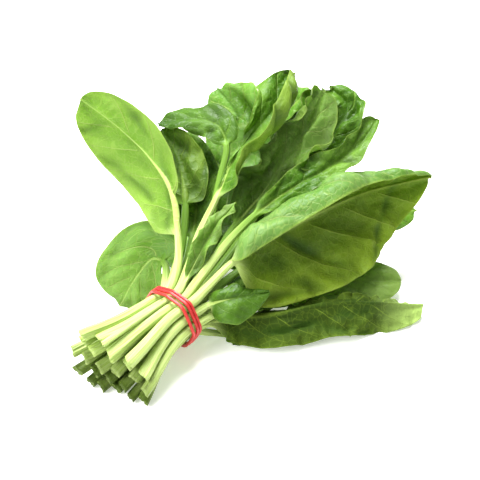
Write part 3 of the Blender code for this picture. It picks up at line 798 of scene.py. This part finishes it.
@dataclass(frozen=True)
class Course:
    """Stations of a leaf from the cut end to the tip, and the columns across it.

    Numbers kept for each station are columns of an array and those for each column are rows, so that
    together they give one for each point.
    """

    marks: np.ndarray  # distance of each given point from the cut end
    begin: float  # distance at which the blade begins
    length: float  # of the blade
    places: np.ndarray  # distance of each station from the cut end
    path: np.ndarray  # middle line
    ahead: np.ndarray  # its direction
    face: np.ndarray  # direction of the upper face
    t: np.ndarray  # place along the blade from 0 to 1
    r: np.ndarray  # place across a half from 0 to 1
    side: np.ndarray  # 0 on the left half and 1 on the right

    @property
    def right(self) -> np.ndarray:
        """Direction of the right half at each station."""
        return np.cross(self.ahead, self.face)

    @property
    def sign(self) -> np.ndarray:
        """-1 on the left half and 1 on the right."""
        return np.where(self.side == 1, 1, -1)

    def each(self, numbers: np.ndarray) -> np.ndarray:
        """The numbers spread over all stations and columns."""
        return numbers + 0 * self.t * self.r

    def margin(self, swells: Swells) -> np.ndarray:
        """Unevenness that runs along each margin and differs between the two halves."""
        return swells.at(self.each(self.places[:, None]), self.each(300.0 * self.side))


@dataclass(frozen=True)
class Relief:
    """Forms that lie on the middle surface of the blade."""

    out: np.ndarray  # distance from the midrib
    vein: np.ndarray  # signed distance from the nearest side vein
    vein_width: np.ndarray
    inner: np.ndarray  # 1 inside the blade, 0 at the midrib, the margin and both ends
    pillow: np.ndarray  # height of the swellings between the veins
    folds: np.ndarray  # height of the pressed folds
    height: np.ndarray  # of everything


@dataclass(frozen=True)
class Stem:
    """Both faces of the stem, with what the cut end needs."""

    faces: np.ndarray
    radius: np.ndarray
    spread: np.ndarray  # angle of each column, on the upper and on the under face
    phase: np.ndarray  # where the ribs begin


@dataclass
class LeafPiece:
    """Builds and dresses one leaf with its stem."""

    leaf: Leaf
    bundle: Bundle
    jitter: np.ndarray
    cut_place: np.ndarray
    random: np.random.Generator
    cell: float = 0.95  # size of a face on the blade
    stem_step: float = 1.6
    least_stations: int = 24
    columns: tuple = (12, 46)  # least and most on half a blade
    rim: float = 0.35  # width of the last column
    bow: float = 0.9  # a stem bows sideways by at most this much before the band
    slope_step: float = 0.5
    join: float = 0.1
    thick: float = 0.5
    tip_half: float = 1.2
    tip_closes: float = 0.975
    midrib_at_tip: float = 0.5
    midrib_fall: float = 1.8
    other_side: float = 0.37  # shift of the edge waves from the left half to the right, as in the CAD source
    lobe_round: float = 1.5
    pillow_width: float = 4.0
    blister_pitch: float = 6.5
    blister_gap: float = 2.2
    crest: tuple = (0.30, 0.22)  # side veins sink into the upper face and stand out of the other
    groove: float = 0.35  # depth over the midrib, as a part of its height
    slant: tuple = (-0.50, 0.0, -0.55)  # the cut leans back by this much a millimetre to the side and up
    fill: tuple = ((0.04, 0.9), (0.3, 0.8), (0.55, 0.45), (0.78, 0.15), (0.92, -0.05))  # size and depth
    fill_dark: tuple = (0.8, 0.85, 0.9, 1.0, 0.7)

    @property
    def low(self) -> float:
        """How low the stem lies in the bundle, from 0 in the upper two rows to 1 in the lower two."""
        row = 1 if self.leaf.slot is None else self.leaf.slot[0]
        return min(max(0.5 * (1 - row), 0.0), 1.0)

    @property
    def size(self) -> float:
        """Radius of the stem under the band."""
        return self.bundle.radius * self.leaf.thin

    @property
    def wide(self) -> float:
        """Widest half width."""
        return max(self.leaf.half)

    def course(self) -> Course:
        """Lays out the stations along the leaf and the columns across it.

        Places along the blade are partly even and partly those of a cosine, so they lie closer at both
        ends. Before the band the stem bows to a side by the square of a sine.

        Returns:
            The course.
        """
        leaf = self.leaf
        given = self.bundle.stem_points(leaf, self.jitter, self.cut_place)
        points = np.array(given + [np.array(point, float) for point in leaf.way])
        marks = marks_of(points)
        begin, end = marks[3 + leaf.begin], marks[-1]
        length = end - begin
        even = np.linspace(0, 1, max(self.least_stations, round(length / self.cell)))
        blade_places = begin + (0.6 * even + 0.2 * (1 - np.cos(math.pi * even))) * length
        places = np.concatenate([np.arange(0, begin, self.stem_step), blade_places])
        bow = np.sin(math.pi * np.clip(places / marks[1], 0, 1) ** 0.8)[:, None] ** 2
        path = curve_at(points, places) + bow * self.random.uniform(-self.bow, self.bow, 3) * (1, 0, 1)
        after = curve_at(points, np.minimum(places + self.slope_step, end))
        ahead = unit(after - curve_at(points, np.maximum(places - self.slope_step, 0)))
        t = np.clip((places - begin) / length, 0, 1)[:, None]
        face = (1 - t) * np.array(leaf.face[0]) + t * np.array(leaf.face[1])
        face = unit(face - (face * ahead).sum(1, keepdims=True) * ahead)
        steps = int(np.clip(round(self.wide / self.cell), *self.columns))
        half_row = np.concatenate([np.linspace(0, 1 - self.rim / self.wide, steps), [1.0]])
        across = np.concatenate([-half_row[:0:-1], half_row])
        side = (across > 0).astype(int)
        return Course(marks, begin, length, places, path, ahead, face, t, np.abs(across), side)

    def outline(self, t: np.ndarray, late: np.ndarray) -> np.ndarray:
        """Half width from 0 to 1 along the blade.

        Before the widest place it is (1 - x to the power b) to the power 1/b, where x falls from 1 to 0 and
        b is the fullness of the base, and after it the same with the fullness of the tip.

        Args:
            t: Place along the blade from 0 to 1.
            late: Where the half begins.

        Returns:
            The half width as a part of the widest.
        """
        leaf = self.leaf
        t = np.clip((t - late) / (1 - late), 0, 1)
        before = np.clip(1 - t / leaf.widest, 0, 1)
        after = np.clip((t - leaf.widest) / (1 - leaf.widest), 0, 1)
        base = np.maximum(1 - before ** leaf.blunt[0], 0) ** (1 / leaf.blunt[0])
        tip = np.maximum(1 - after ** leaf.blunt[1], 0) ** (1 / leaf.blunt[1])
        return np.where(t < leaf.widest, base, tip)

    def lift(self, course: Course, shape: np.ndarray) -> np.ndarray:
        """Height of the margin's waves: the CAD source's sine, small ripples and ruffles.

        They grow with the way out to the power 2, 3 and 5, and the ruffles end before the tip.

        Args:
            course: Stations and columns.
            shape: Half width as a part of the widest.

        Returns:
            A height for each point.
        """
        leaf, t, r = self.leaf, course.t, course.r
        height, count, start = leaf.wave
        turns = count * t + start + self.other_side * course.side
        waves = height * r * r * np.sqrt(shape) * np.sin(2 * math.pi * turns)
        ripples = leaf.ripple * r**3 * np.sqrt(shape) * course.margin(Swells(self.random, 7, 16, 5))
        frills = course.margin(Swells(self.random, 13, 24, 3))
        return waves + ripples + leaf.ruffle * r**5 * shape * (1 - smooth(t, 0.8, 1.0)) * frills

    def middle(self, course: Course) -> tuple[np.ndarray, np.ndarray]:
        """Middle surface of the blade and its half width at each point.

        As in the CAD source each half is an arc that starts at the fold angle and bends by the curl. Along
        an arc the way across is its length times sin(x) / x of half its bend.

        Args:
            course: Stations and columns.

        Returns:
            Points and half widths.
        """
        leaf, t, r, side = self.leaf, course.t, course.r, course.side
        half = np.array(leaf.half)[side]
        shape = self.outline(t, np.array(leaf.late)[side])
        closing = np.sqrt(1 - smooth(t, self.tip_closes, 1.0) * 0.995)
        uneven = 1 + 0.012 * course.margin(Swells(self.random, 14, 40)) * smooth(t, 0.05, 0.2)
        least = (1 - t) * self.size * self.bundle.at_blade + t * self.tip_half
        width = np.maximum(half * shape * uneven, least) * closing
        tip_curl = leaf.tip_curl or leaf.curl
        curl = np.radians((1 - t) * np.array(leaf.curl)[side] + t * np.array(tip_curl)[side])
        fold = np.radians(np.array(leaf.fold))[side]
        angle, turn = fold + curl * r / 2, fold + curl * r
        reach = r * width * np.sinc(curl * r / (2 * math.pi))
        lift = self.lift(course, shape)
        near_base = np.clip(1 - t / leaf.widest, 0, 1)
        back = leaf.lobe * half * r**self.lobe_round * near_base**self.lobe_round
        along = course.sign * (reach * np.cos(angle) - lift * np.sin(turn))
        above = reach * np.sin(angle) + lift * np.cos(turn)
        grid = course.path[:, None] + along[..., None] * course.right[:, None]
        grid = grid + above[..., None] * course.face[:, None]
        return grid - back[..., None] * course.ahead[:, None], width

    def side_veins(self, course: Course, out: np.ndarray) -> tuple[np.ndarray, np.ndarray]:
        """Signed distance from the nearest side vein, and its width.

        A vein leaves the midrib at its own place and runs outward and forward: its distance along is that
        place plus the way out times the cotangent of its angle, plus a share of the way out squared.

        Args:
            course: Stations and columns.
            out: Distance out from the midrib.

        Returns:
            Two arrays with a number for each point.
        """
        count, wide = self.leaf.veins, self.wide
        number = np.arange(count)
        s = course.each(course.t * course.length)
        side = course.each(course.side)
        best = np.full(s.shape, 1e3)
        for half in (0, 1):
            shift = self.random.uniform(-0.14, 0.14, count)
            starts = course.length * (0.02 + 0.86 * ((number + 0.45 * half + shift) / count).clip(0, 1))
            angles = np.radians(np.linspace(62, 34, count) + self.random.uniform(-5, 5, count))
            bend = self.random.uniform(0.35, 0.75, count) / wide
            line = starts + out[..., None] / np.tan(angles) + bend * out[..., None] ** 2
            away = (s[..., None] - line) * np.sin(angles)
            pick = np.abs(away).argmin(-1)[..., None]
            near = np.take_along_axis(away, pick, -1)[..., 0]
            best = np.where(side == half, near, best)
        return best, (0.24 + 0.011 * wide) * np.clip(1.15 - 0.7 * out / wide, 0.25, 1.0)

    def blisters(self, s: np.ndarray, across: np.ndarray) -> np.ndarray:
        """Height from 0 to 1 of small pillows: 1 minus a bell over the gap between the two nearest seeds.

        Args:
            s: Distance along the midrib.
            across: Distance from the midrib, less than 0 on the left.

        Returns:
            An array like s.
        """
        pitch = self.blister_pitch
        rows = np.arange(s.min() - pitch, s.max() + pitch, pitch)
        columns = np.arange(across.min() - pitch, across.max() + pitch, pitch)
        seeds = np.stack(np.meshgrid(rows, columns), -1).reshape(-1, 2)
        seeds = seeds + self.random.uniform(-0.45, 0.45, seeds.shape) * pitch
        flat = np.stack([s.ravel(), across.ravel()], -1).astype(np.float32)
        away = np.linalg.norm(flat[:, None] - seeds[None].astype(np.float32), axis=-1)
        away.partition(1, axis=1)
        gap = (away[:, 1] - away[:, 0]).reshape(s.shape)
        return 1 - bell(gap / self.blister_gap)

    def folds(self, s: np.ndarray, across: np.ndarray, length: float) -> np.ndarray:
        """Height of the folds pressed into the blade.

        Each is a ridge or a valley along a slanted line: it falls evenly from the line, fades over its own
        width on both sides and also towards its ends.

        Args:
            s: Distance along the midrib.
            across: Distance from the midrib, less than 0 on the left.
            length: Blade length.

        Returns:
            An array like s.
        """
        height = np.zeros(s.shape)
        for _ in range(self.leaf.creases):
            middle = self.random.uniform((0.1, -0.9), (1.0, 0.9)) * (length, self.wide)
            angle = self.random.normal(0.0, 0.6)
            reach, run = self.random.uniform(5, 10), length * self.random.uniform(0.3, 0.6)
            away = ((across - middle[1]) * math.cos(angle) - (s - middle[0]) * math.sin(angle)) / reach
            ahead = ((s - middle[0]) * math.cos(angle) + (across - middle[1]) * math.sin(angle)) / run
            ridge = (0.8 - 1.5 * np.sqrt(away**2 + 0.015)) * np.exp(-(away**2) - ahead**2)
            height += self.random.choice((-1, 1)) * ridge
        return self.leaf.crease * height

    def relief(self, course: Course, width: np.ndarray) -> Relief:
        """What lies on the blade: pillows between the veins, blisters, broad swells and pressed folds.

        Args:
            course: Stations and columns.
            width: Half width at each point.

        Returns:
            The relief.
        """
        leaf, t, r = self.leaf, course.t, course.r
        s, out = course.each(t * course.length), r * width
        across = course.sign * out
        vein, vein_width = self.side_veins(course, out)
        inner = smooth(r, 0.0, 0.25) * (1 - smooth(r, 0.8, 1.0))
        inner = inner * smooth(t, 0.03, 0.15) * (1 - smooth(t, 0.9, 1.0))
        pillow = leaf.puff * (1 - bell(vein / self.pillow_width))
        broad = leaf.swell * Swells(self.random, 20, 55).at(s, across)
        bumps = leaf.blister * self.blisters(s, across)
        folds = self.folds(s, across, course.length)
        outer = smooth(r, 0.05, 0.5) * smooth(t, 0.05, 0.2)
        height = inner * (pillow + bumps) + (broad + folds) * outer
        return Relief(out, vein, vein_width, inner, pillow, folds, height)

    def sheet(self, course: Course, grid: np.ndarray, relief: Relief) -> tuple[np.ndarray, np.ndarray]:
        """Both faces of the blade, with a groove over the midrib and the midrib round underneath.

        Args:
            course: Stations and columns.
            grid: Middle surface of the blade.
            relief: What lies on it.

        Returns:
            Points as (face, station, column, xyz), and half the midrib's width at each station.
        """
        t, out = course.t, relief.out
        grid = grid + normals(grid) * relief.height[..., None]
        normal = normals(grid)
        rib = self.size * self.bundle.at_blade * (1 - t) ** self.midrib_fall + self.midrib_at_tip * t
        rib_width = 1.05 * rib + 0.3
        round_rib = np.sqrt(np.maximum(1 - (out / rib_width) ** 2, 0))
        crest = bell(relief.vein / relief.vein_width) * relief.inner
        thick = self.thick * (1 - 0.4 * course.r**4) / 2
        groove = self.groove * rib * bell(2 * out / rib_width)
        upper = grid + normal * (thick - self.crest[0] * crest - groove)[..., None]
        lower = grid - normal * (thick + rib * round_rib + self.crest[1] * crest)[..., None]
        return np.stack([upper, lower]), rib_width

    def stem(self, course: Course) -> Stem:
        """Stem sections: circles with ribs and a groove on top, a little broader and hollowed at the cut.

        The ribs are two cosines round the circle, and they fade under the band.

        Args:
            course: Stations and columns.

        Returns:
            The stem.
        """
        random, places, marks, bundle = self.random, course.places, course.marks, self.bundle
        knots = [0, marks[1], marks[2], course.begin]
        radius = self.size * np.interp(places, knots, [bundle.at_cut, 1, 1, bundle.at_blade])
        radius = radius * (1 + 0.02 * Swells(random, 18, 45, 4).at(places, 0 * places))
        turned = np.interp(course.r, [0, 0.12, 0.4, 0.72, 1], [0, 0.25, 0.5, 0.75, 1])
        spread = np.radians(90 - 86 * course.sign * turned)
        spread = np.stack([spread, -spread])
        phase = random.uniform(0, 2 * math.pi, 3)
        bare = (1 - bell((places - marks[1]) / 16))[:, None]
        open_end = smooth(-places, -0.75 * marks[1], 0)[:, None]
        ribs = 0.03 * np.cos(9 * spread + phase[0]) + 0.018 * np.cos(17 * spread + phase[1])
        hollow = bell((np.mod(spread, 2 * math.pi) - math.pi / 2) / 0.62)
        deep = smooth(places, marks[2], course.begin)[:, None]
        depth = 0.06 + 0.12 * deep + random.uniform(0.1, 0.34) * open_end
        rim = radius[None, :, None] * (1 + bare * ribs[:, None] - hollow[:, None] * depth)
        broader = 1 + random.uniform(0.02, 0.16) * open_end
        sideways = rim * broader * np.cos(spread)[:, None]
        upward = rim * (2 - broader) ** 0.6 * np.sin(spread)[:, None]
        faces = (
            course.path[None, :, None]
            + sideways[..., None] * course.right[None, :, None]
            + upward[..., None] * course.face[None, :, None]
        )
        return Stem(faces, radius, spread, phase)

    def cut(self, course: Course, both: np.ndarray, stem: Stem) -> np.ndarray:
        """Slants and tears the cut end: points move along the stem, less with the distance from the end.

        Args:
            course: Stations and columns.
            both: Both faces of the leaf.
            stem: The stem.

        Returns:
            Both faces with the cut.
        """
        tilt = self.random.uniform(-0.3, 0.3, 3)
        slant = np.array(self.slant) * (1 - 0.5 * self.low) + tilt
        slope = ((both - course.path[None, :, None]) * slant).sum(-1)
        teeth = np.sin(3 * stem.spread + stem.phase[2]) + 0.6 * np.sin(7 * stem.spread + stem.phase[1])
        torn = (0.17 + 0.2 * self.low) * teeth
        slope = slope + torn[:, None] * np.exp(-course.places / 2.0)[None, :, None]
        moved = slope * np.exp(-course.places / 4.0)[None, :, None]
        return both + moved[..., None] * course.ahead[None, :, None]

    def numbers(self, course: Course, relief: Relief, stem: Stem, rib_width: np.ndarray) -> dict:
        """Numbers that the material reads at each point, and the leaf's own map in millimetres.

        Args:
            course: Stations and columns.
            relief: What lies on the blade.
            stem: The stem.
            rib_width: Half the midrib's width.

        Returns:
            Arrays as (face, station, column) by name.
        """
        leaf, t, low = self.leaf, course.t, self.low
        distance = course.places[:, None]
        both = np.ones((2, 1, 1))
        # painted shade: the deep number is high in the valleys of the folds on each face, in the low places
        # beside the side veins, and near the base of the blade by the leaf's sunk value
        hills = relief.folds / max(leaf.crease, 1.0)
        hills = hills + 0.5 * (relief.pillow / max(leaf.puff, 0.1) - 0.6) * relief.inner
        deep = np.stack([-hills, hills]).clip(0, 1) + leaf.sunk * (1 - smooth(t, 0.1, 0.65))
        line = relief.vein / (relief.vein_width * np.clip(relief.inner * 1.5, 0.02, 1))
        ribs = np.stack([2.4 * relief.out / rib_width, relief.out / rib_width])
        on_stem = stem.radius[:, None] * (stem.spread[0] - math.pi / 2)
        # the cut end is darker, and on the lower stems darker and further up as painted shade
        cut_end_and_shade = (0.15 + 0.82 * low) * np.exp(-distance / (3 + 22 * low))
        past_band = course.places - course.marks[2]
        return {
            "upper": np.stack([course.each(1.0), course.each(0.0)]),
            "blade": both * smooth(course.each(t), 0.0, 0.09),
            "vein": both * np.clip(line, -9, 9),
            "rib": (ribs + 1.5 * (1 - leaf.midrib) * smooth(t, 0.05, 0.6)).clip(0, 9),
            "edge": both * course.each(course.r),
            "deep": deep.clip(0, 1) * smooth(t, 0.0, 0.1),
            "pale_and_painted_light": both * course.each(leaf.pale_and_painted_light[1] * smooth(t, leaf.pale_and_painted_light[0], 1.0)),
            "green": both * course.each(smooth(past_band, 0.2 * leaf.pale, leaf.pale)[:, None]),
            "cut": both * course.each(cut_end_and_shade),
            "map_x": both * np.where(t > 0, course.sign * relief.out, on_stem),
            "map_y": both * course.each(distance - course.begin),
        }

    def skins(self) -> tuple[np.ndarray, dict]:
        """Both faces of the leaf from the cut end to the tip, none of it below the table.

        Over the first tenth of the blade the stem's sections turn into the blade's.

        Returns:
            Points as (face, station, column, xyz) and the numbers kept with them.
        """
        course = self.course()
        grid, width = self.middle(course)
        relief = self.relief(course, width)
        sheet, rib_width = self.sheet(course, grid, relief)
        stem = self.stem(course)
        flat = smooth(course.t, 0, self.join)[None, ..., None]
        both = (1 - flat) * stem.faces + flat * sheet
        under = np.minimum(both.min(axis=0)[..., 2] + self.bundle.height, 0.0)
        both[..., 2] -= under[None]
        return self.cut(course, both, stem), self.numbers(course, relief, stem, rib_width)

    def rings(self) -> tuple[np.ndarray, dict]:
        """Closed rings from the sunken middle of the cut end to the tip, and the numbers kept with them.

        The cut end is filled by copies of the first ring, shrunk about its centre and pushed inward.

        Returns:
            Rings as (ring, point, xyz) and numbers as (ring, point).
        """
        both, numbers = self.skins()
        rings = np.concatenate([both[0], both[1][:, ::-1]], axis=1)
        scales, depths = np.array(self.fill).T
        first = rings[0]
        centre = first.mean(0)
        inward = unit(rings[4].mean(0) - centre)
        rough = self.random.uniform(-0.12, 0.12, (len(scales), rings.shape[1]))
        sunk = inward * (depths[:, None] + rough)[..., None]
        inner = centre + (first - centre) * scales[:, None, None] + sunk
        for key, (upper, under) in numbers.items():
            values = np.concatenate([upper, under[:, ::-1]], axis=1)
            numbers[key] = np.concatenate([np.repeat(values[:1], len(scales), axis=0), values])
        # the filled cut face is darker, more so on the lower stems as painted shade
        numbers["cut"][: len(scales)] = ((0.35 + 0.6 * self.low) * np.array(self.fill_dark))[:, None]
        return np.concatenate([inner, rings]), numbers

    def build(self) -> bpy.types.Object:
        """Makes the mesh."""
        rings, numbers = self.rings()
        count, around = rings.shape[:2]
        first_end, last_end = end_faces(0, around)[:, ::-1], end_faces((count - 1) * around, around)
        faces = np.concatenate([ring_faces(count, around), first_end, last_end])
        flat = np.stack([numbers.pop("map_x"), numbers.pop("map_y")], -1).reshape(-1, 2) / 100
        return piece(self.leaf.name, self.bundle.place(rings.reshape(-1, 3)), faces, flat, numbers)

    def dress(self, made: bpy.types.Object, material: bpy.types.Material) -> None:
        """Gives the piece its material and its place in the frame."""
        made.data.materials.append(material)
        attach(made, "root")
        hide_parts(self.leaf.name)


@dataclass
class RubberBand:
    """Three turns of round rubber, with the values of the CAD source."""

    bundle: Bundle
    cord: float = 2.0
    turns: int = 3
    pitch: float = 2.35
    loose: float = 1.9
    lift: float = 2.4
    per_turn: int = 230
    fine_steps: int = 4001
    roundings: int = 6
    sides: int = 20
    crossing: tuple = (math.radians(200), math.radians(290))  # hidden underneath
    change: tuple = (0.3, 0.7)  # parts of the crossing between which a turn moves to the next place
    loosest_at: float = math.radians(40)

    def line(self) -> np.ndarray:
        """Middle line of the band: the outermost stem in each direction, with the turns side by side.

        Returns:
            Points of the closed line.
        """
        radius = self.bundle.radius
        circles = np.array([(*self.bundle.slot_centre(leaf), radius * leaf.thin) for leaf in LEAVES])
        fine = np.linspace(0, 2 * math.pi, self.fine_steps)
        directions = np.stack([np.cos(fine), np.sin(fine)], axis=1)
        hit = circles[np.argmax(directions @ circles[:, :2].T + circles[:, 2], axis=1)]
        rim = hit[:, :2] + directions * (hit[:, 2] + self.bundle.gap + self.cord / 2)[:, None]
        run = marks_of(rim)
        wanted = np.arange(self.per_turn) * run[-1] / self.per_turn
        angles = np.interp(wanted, run, fine)
        rim = np.stack([np.interp(wanted, run, rim[:, 0]), np.interp(wanted, run, rim[:, 1])], axis=1)
        outward = unit(np.roll(rim, 1, axis=0) - np.roll(rim, -1, axis=0))[:, ::-1] * np.array([-1.0, 1.0])
        part = (angles - self.crossing[0]) / (self.crossing[1] - self.crossing[0])
        slots = [self.pitch, 0.0, -self.pitch]
        loose = self.loose * np.clip(np.cos(angles - self.loosest_at), 0, 1)
        over = smooth(part, 0.0, self.change[0]) * (1 - smooth(part, self.change[1], 1.0))
        line = []
        for turn in range(self.turns):
            here, after = slots[turn], slots[(turn + 1) % self.turns]
            y = here + (after - here) * smooth(part, *self.change)
            lift = self.lift * over if turn == self.turns - 1 else 0 * part
            number = (turn + (part > 0.5)) % self.turns
            y = y - np.where(number == self.turns - 1, loose, 0.0)
            ring = rim + outward * lift[:, None]
            line.append(np.stack([ring[:, 0], y, ring[:, 1]], axis=1))
        return np.concatenate(line)

    def build(self) -> bpy.types.Object:
        """Makes the tube: the line is rounded by the mean of neighbours, and a circle is carried along it."""
        line = self.line()
        for _ in range(self.roundings):
            line = (np.roll(line, 1, axis=0) + 2 * line + np.roll(line, -1, axis=0)) / 4
        ahead = unit(np.roll(line, -1, axis=0) - np.roll(line, 1, axis=0))
        side = unit(np.array([0.0, 1.0, 0.0]) - ahead[:, 1:2] * ahead)
        out = np.cross(ahead, side)
        turns = 2 * math.pi * np.arange(self.sides) / self.sides
        ring = np.cos(turns)[None, :, None] * side[:, None] + np.sin(turns)[None, :, None] * out[:, None]
        points = (line[:, None] + self.cord / 2 * ring).reshape(-1, 3)
        count = len(line)
        k, j = np.arange(count)[:, None], np.arange(self.sides)[None]
        here, after = k * self.sides, (k + 1) % count * self.sides
        next_j = (j + 1) % self.sides
        faces = np.stack([here + j, here + next_j, after + next_j, after + j], -1).reshape(-1, 4)
        flat = np.stack([k / 40 + 0 * j, j / self.sides + 0 * k], -1).reshape(-1, 2)
        return piece("rubber_band", self.bundle.place(points), faces, flat, {})

    def dress(self, made: bpy.types.Object, material: bpy.types.Material) -> None:
        """Gives the piece its material and its place in the frame."""
        made.data.materials.append(material)
        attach(made, "root")
        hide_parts("rubber_band")


@dataclass
class Studio:
    """White table, soft lights and the camera."""

    bundle: Bundle
    azimuth: float = 39.0
    elevation: float = 34.0
    camera_at: tuple = (432.8, -469.7, 485.7)  # from the middle of the band
    lens: float = 100.0
    floor_size: float = 6.0
    floor_gap: float = MM / 10  # keeps the table clear of what lies on it
    world: float = 0.44
    lit: tuple = (0.0, 0.0, 0.03)  # what the lights look at

    def floor(self) -> None:
        """Puts the table under the bunch."""
        h = self.floor_size / 2
        mesh = bpy.data.meshes.new("floor")
        z = -self.floor_gap
        mesh.from_pydata([(-h, -h, z), (h, -h, z), (h, h, z), (-h, h, z)], [], [(0, 1, 2, 3)])
        made = bpy.data.objects.new("floor", mesh)
        bpy.context.scene.collection.objects.link(made)
        mesh.materials.append(FloorFinish().make())

    def light(self, name: str, at: tuple, size: float, power: float) -> None:
        """Adds a square soft light that looks at the bunch.

        Args:
            name: Its name.
            at: Where it is, in metres.
            size: Its side.
            power: Its power in watts.
        """
        data = bpy.data.lights.new(name, "AREA")
        data.shape, data.size, data.energy = "SQUARE", size, power
        made = bpy.data.objects.new(name, data)
        made.location = at
        made.rotation_euler = (Vector(self.lit) - Vector(at)).to_track_quat("-Z", "Y").to_euler()
        bpy.context.scene.collection.objects.link(made)

    def lights(self) -> None:
        """Adds the even light of the room and two soft boxes."""
        world = bpy.data.worlds.new("room")
        world.use_nodes = True
        world.node_tree.nodes["Background"].inputs[0].default_value = (1, 1, 1, 1)
        world.node_tree.nodes["Background"].inputs[1].default_value = self.world
        bpy.context.scene.world = world
        self.light("key", (-0.38, 0.34, 1.18), 0.7, 54.0)
        self.light("front", (-0.3, -1.0, 0.75), 0.9, 26.0)

    def camera(self) -> None:
        """Adds the camera: its right, up and back axes follow from azimuth and elevation."""
        az, el = math.radians(self.azimuth), math.radians(self.elevation)
        look = Vector((-math.sin(az) * math.cos(el), math.cos(az) * math.cos(el), -math.sin(el)))
        right = Vector((math.cos(az), math.sin(az), 0))
        up = right.cross(look)
        data = bpy.data.cameras.new("camera")
        data.lens, data.sensor_width, data.clip_start = self.lens, 36.0, 0.01
        made = bpy.data.objects.new("camera", data)
        turn = Matrix((right, up, -look)).transposed().to_4x4()
        made.matrix_world = Matrix.Translation(self.bundle.place(np.array(self.camera_at))) @ turn
        bpy.context.scene.collection.objects.link(made)
        bpy.context.scene.camera = made

    def build(self) -> None:
        """Builds the studio."""
        self.floor()
        self.lights()
        self.camera()
        bpy.context.scene.view_settings.view_transform = "Standard"


FINISHES = {
    Tone.BRIGHT: LeafFinish(
        "bright", (0.139, 0.312, 0.025), (0.09, 0.23, 0.016), (0.22, 0.37, 0.05), (0.13, 0.26, 0.02),
        share=0.36,
    ),
    Tone.FRESH: LeafFinish(
        "fresh", (0.139, 0.295, 0.041), (0.074, 0.197, 0.016), (0.18, 0.312, 0.041), (0.115, 0.238, 0.021)
    ),
    # painted shade: darker greens for leaves in the shade of others
    Tone.DEEP_SHADE: LeafFinish(
        "deep", (0.112, 0.236, 0.02), (0.042, 0.12, 0.006), (0.145, 0.246, 0.022), (0.082, 0.165, 0.012),
        vein=(0.19, 0.35, 0.045), under_vein=(0.25, 0.37, 0.055), share=0.24,
    ),
    Tone.OLIVE: LeafFinish(
        "olive", (0.145, 0.27, 0.06), (0.09, 0.205, 0.032), (0.2, 0.305, 0.015), (0.112, 0.19, 0.009),
        under_vein=(0.295, 0.41, 0.049), share=0.3,
    ),
    # painted shade: the darkest greens, for the low leaf in the shade of the big front leaf
    Tone.DUSKY: LeafFinish(
        "dusky", (0.06, 0.12, 0.009), (0.032, 0.072, 0.005), (0.046, 0.082, 0.004), (0.016, 0.037, 0.001),
        vein=(0.139, 0.254, 0.029), under_vein=(0.15, 0.23, 0.02), share=0.05, under_rough=0.7, shine=0.12,
    ),
    # painted shade: dark greens for leaves in shade
    Tone.DARK_SHADE: LeafFinish(
        "dark_shade", (0.065, 0.15, 0.009), (0.03, 0.085, 0.004), (0.1, 0.19, 0.015), (0.06, 0.13, 0.009),
        vein=(0.12, 0.24, 0.022), under_vein=(0.2, 0.32, 0.04), share=0.15,
    ),
}


def main() -> None:
    """Builds every piece in order."""
    logging.basicConfig(level=logging.INFO, format="%(message)s")
    bundle = Bundle()
    Studio(bundle).build()
    materials = {tone: finish.make() for tone, finish in FINISHES.items()}
    jitters = np.random.default_rng(7).uniform(-1, 1, (len(LEAVES), 3))
    total = 0
    for number, (leaf, jitter, cut_place) in enumerate(zip(LEAVES, jitters, bundle.cut_places(jitters))):
        maker = LeafPiece(leaf, bundle, jitter, cut_place, np.random.default_rng(100 + number))
        made = maker.build()
        maker.dress(made, materials[leaf.tone])
        triangles = 2 * len(made.data.polygons)
        total += triangles
        LOG.info("%s: %d triangles", made.name, triangles)
    band = RubberBand(bundle)
    band.dress(band.build(), RubberFinish().make())
    LOG.info("rubber band done, %d triangles in leaves", total)


if __name__ == "__main__":
    main()
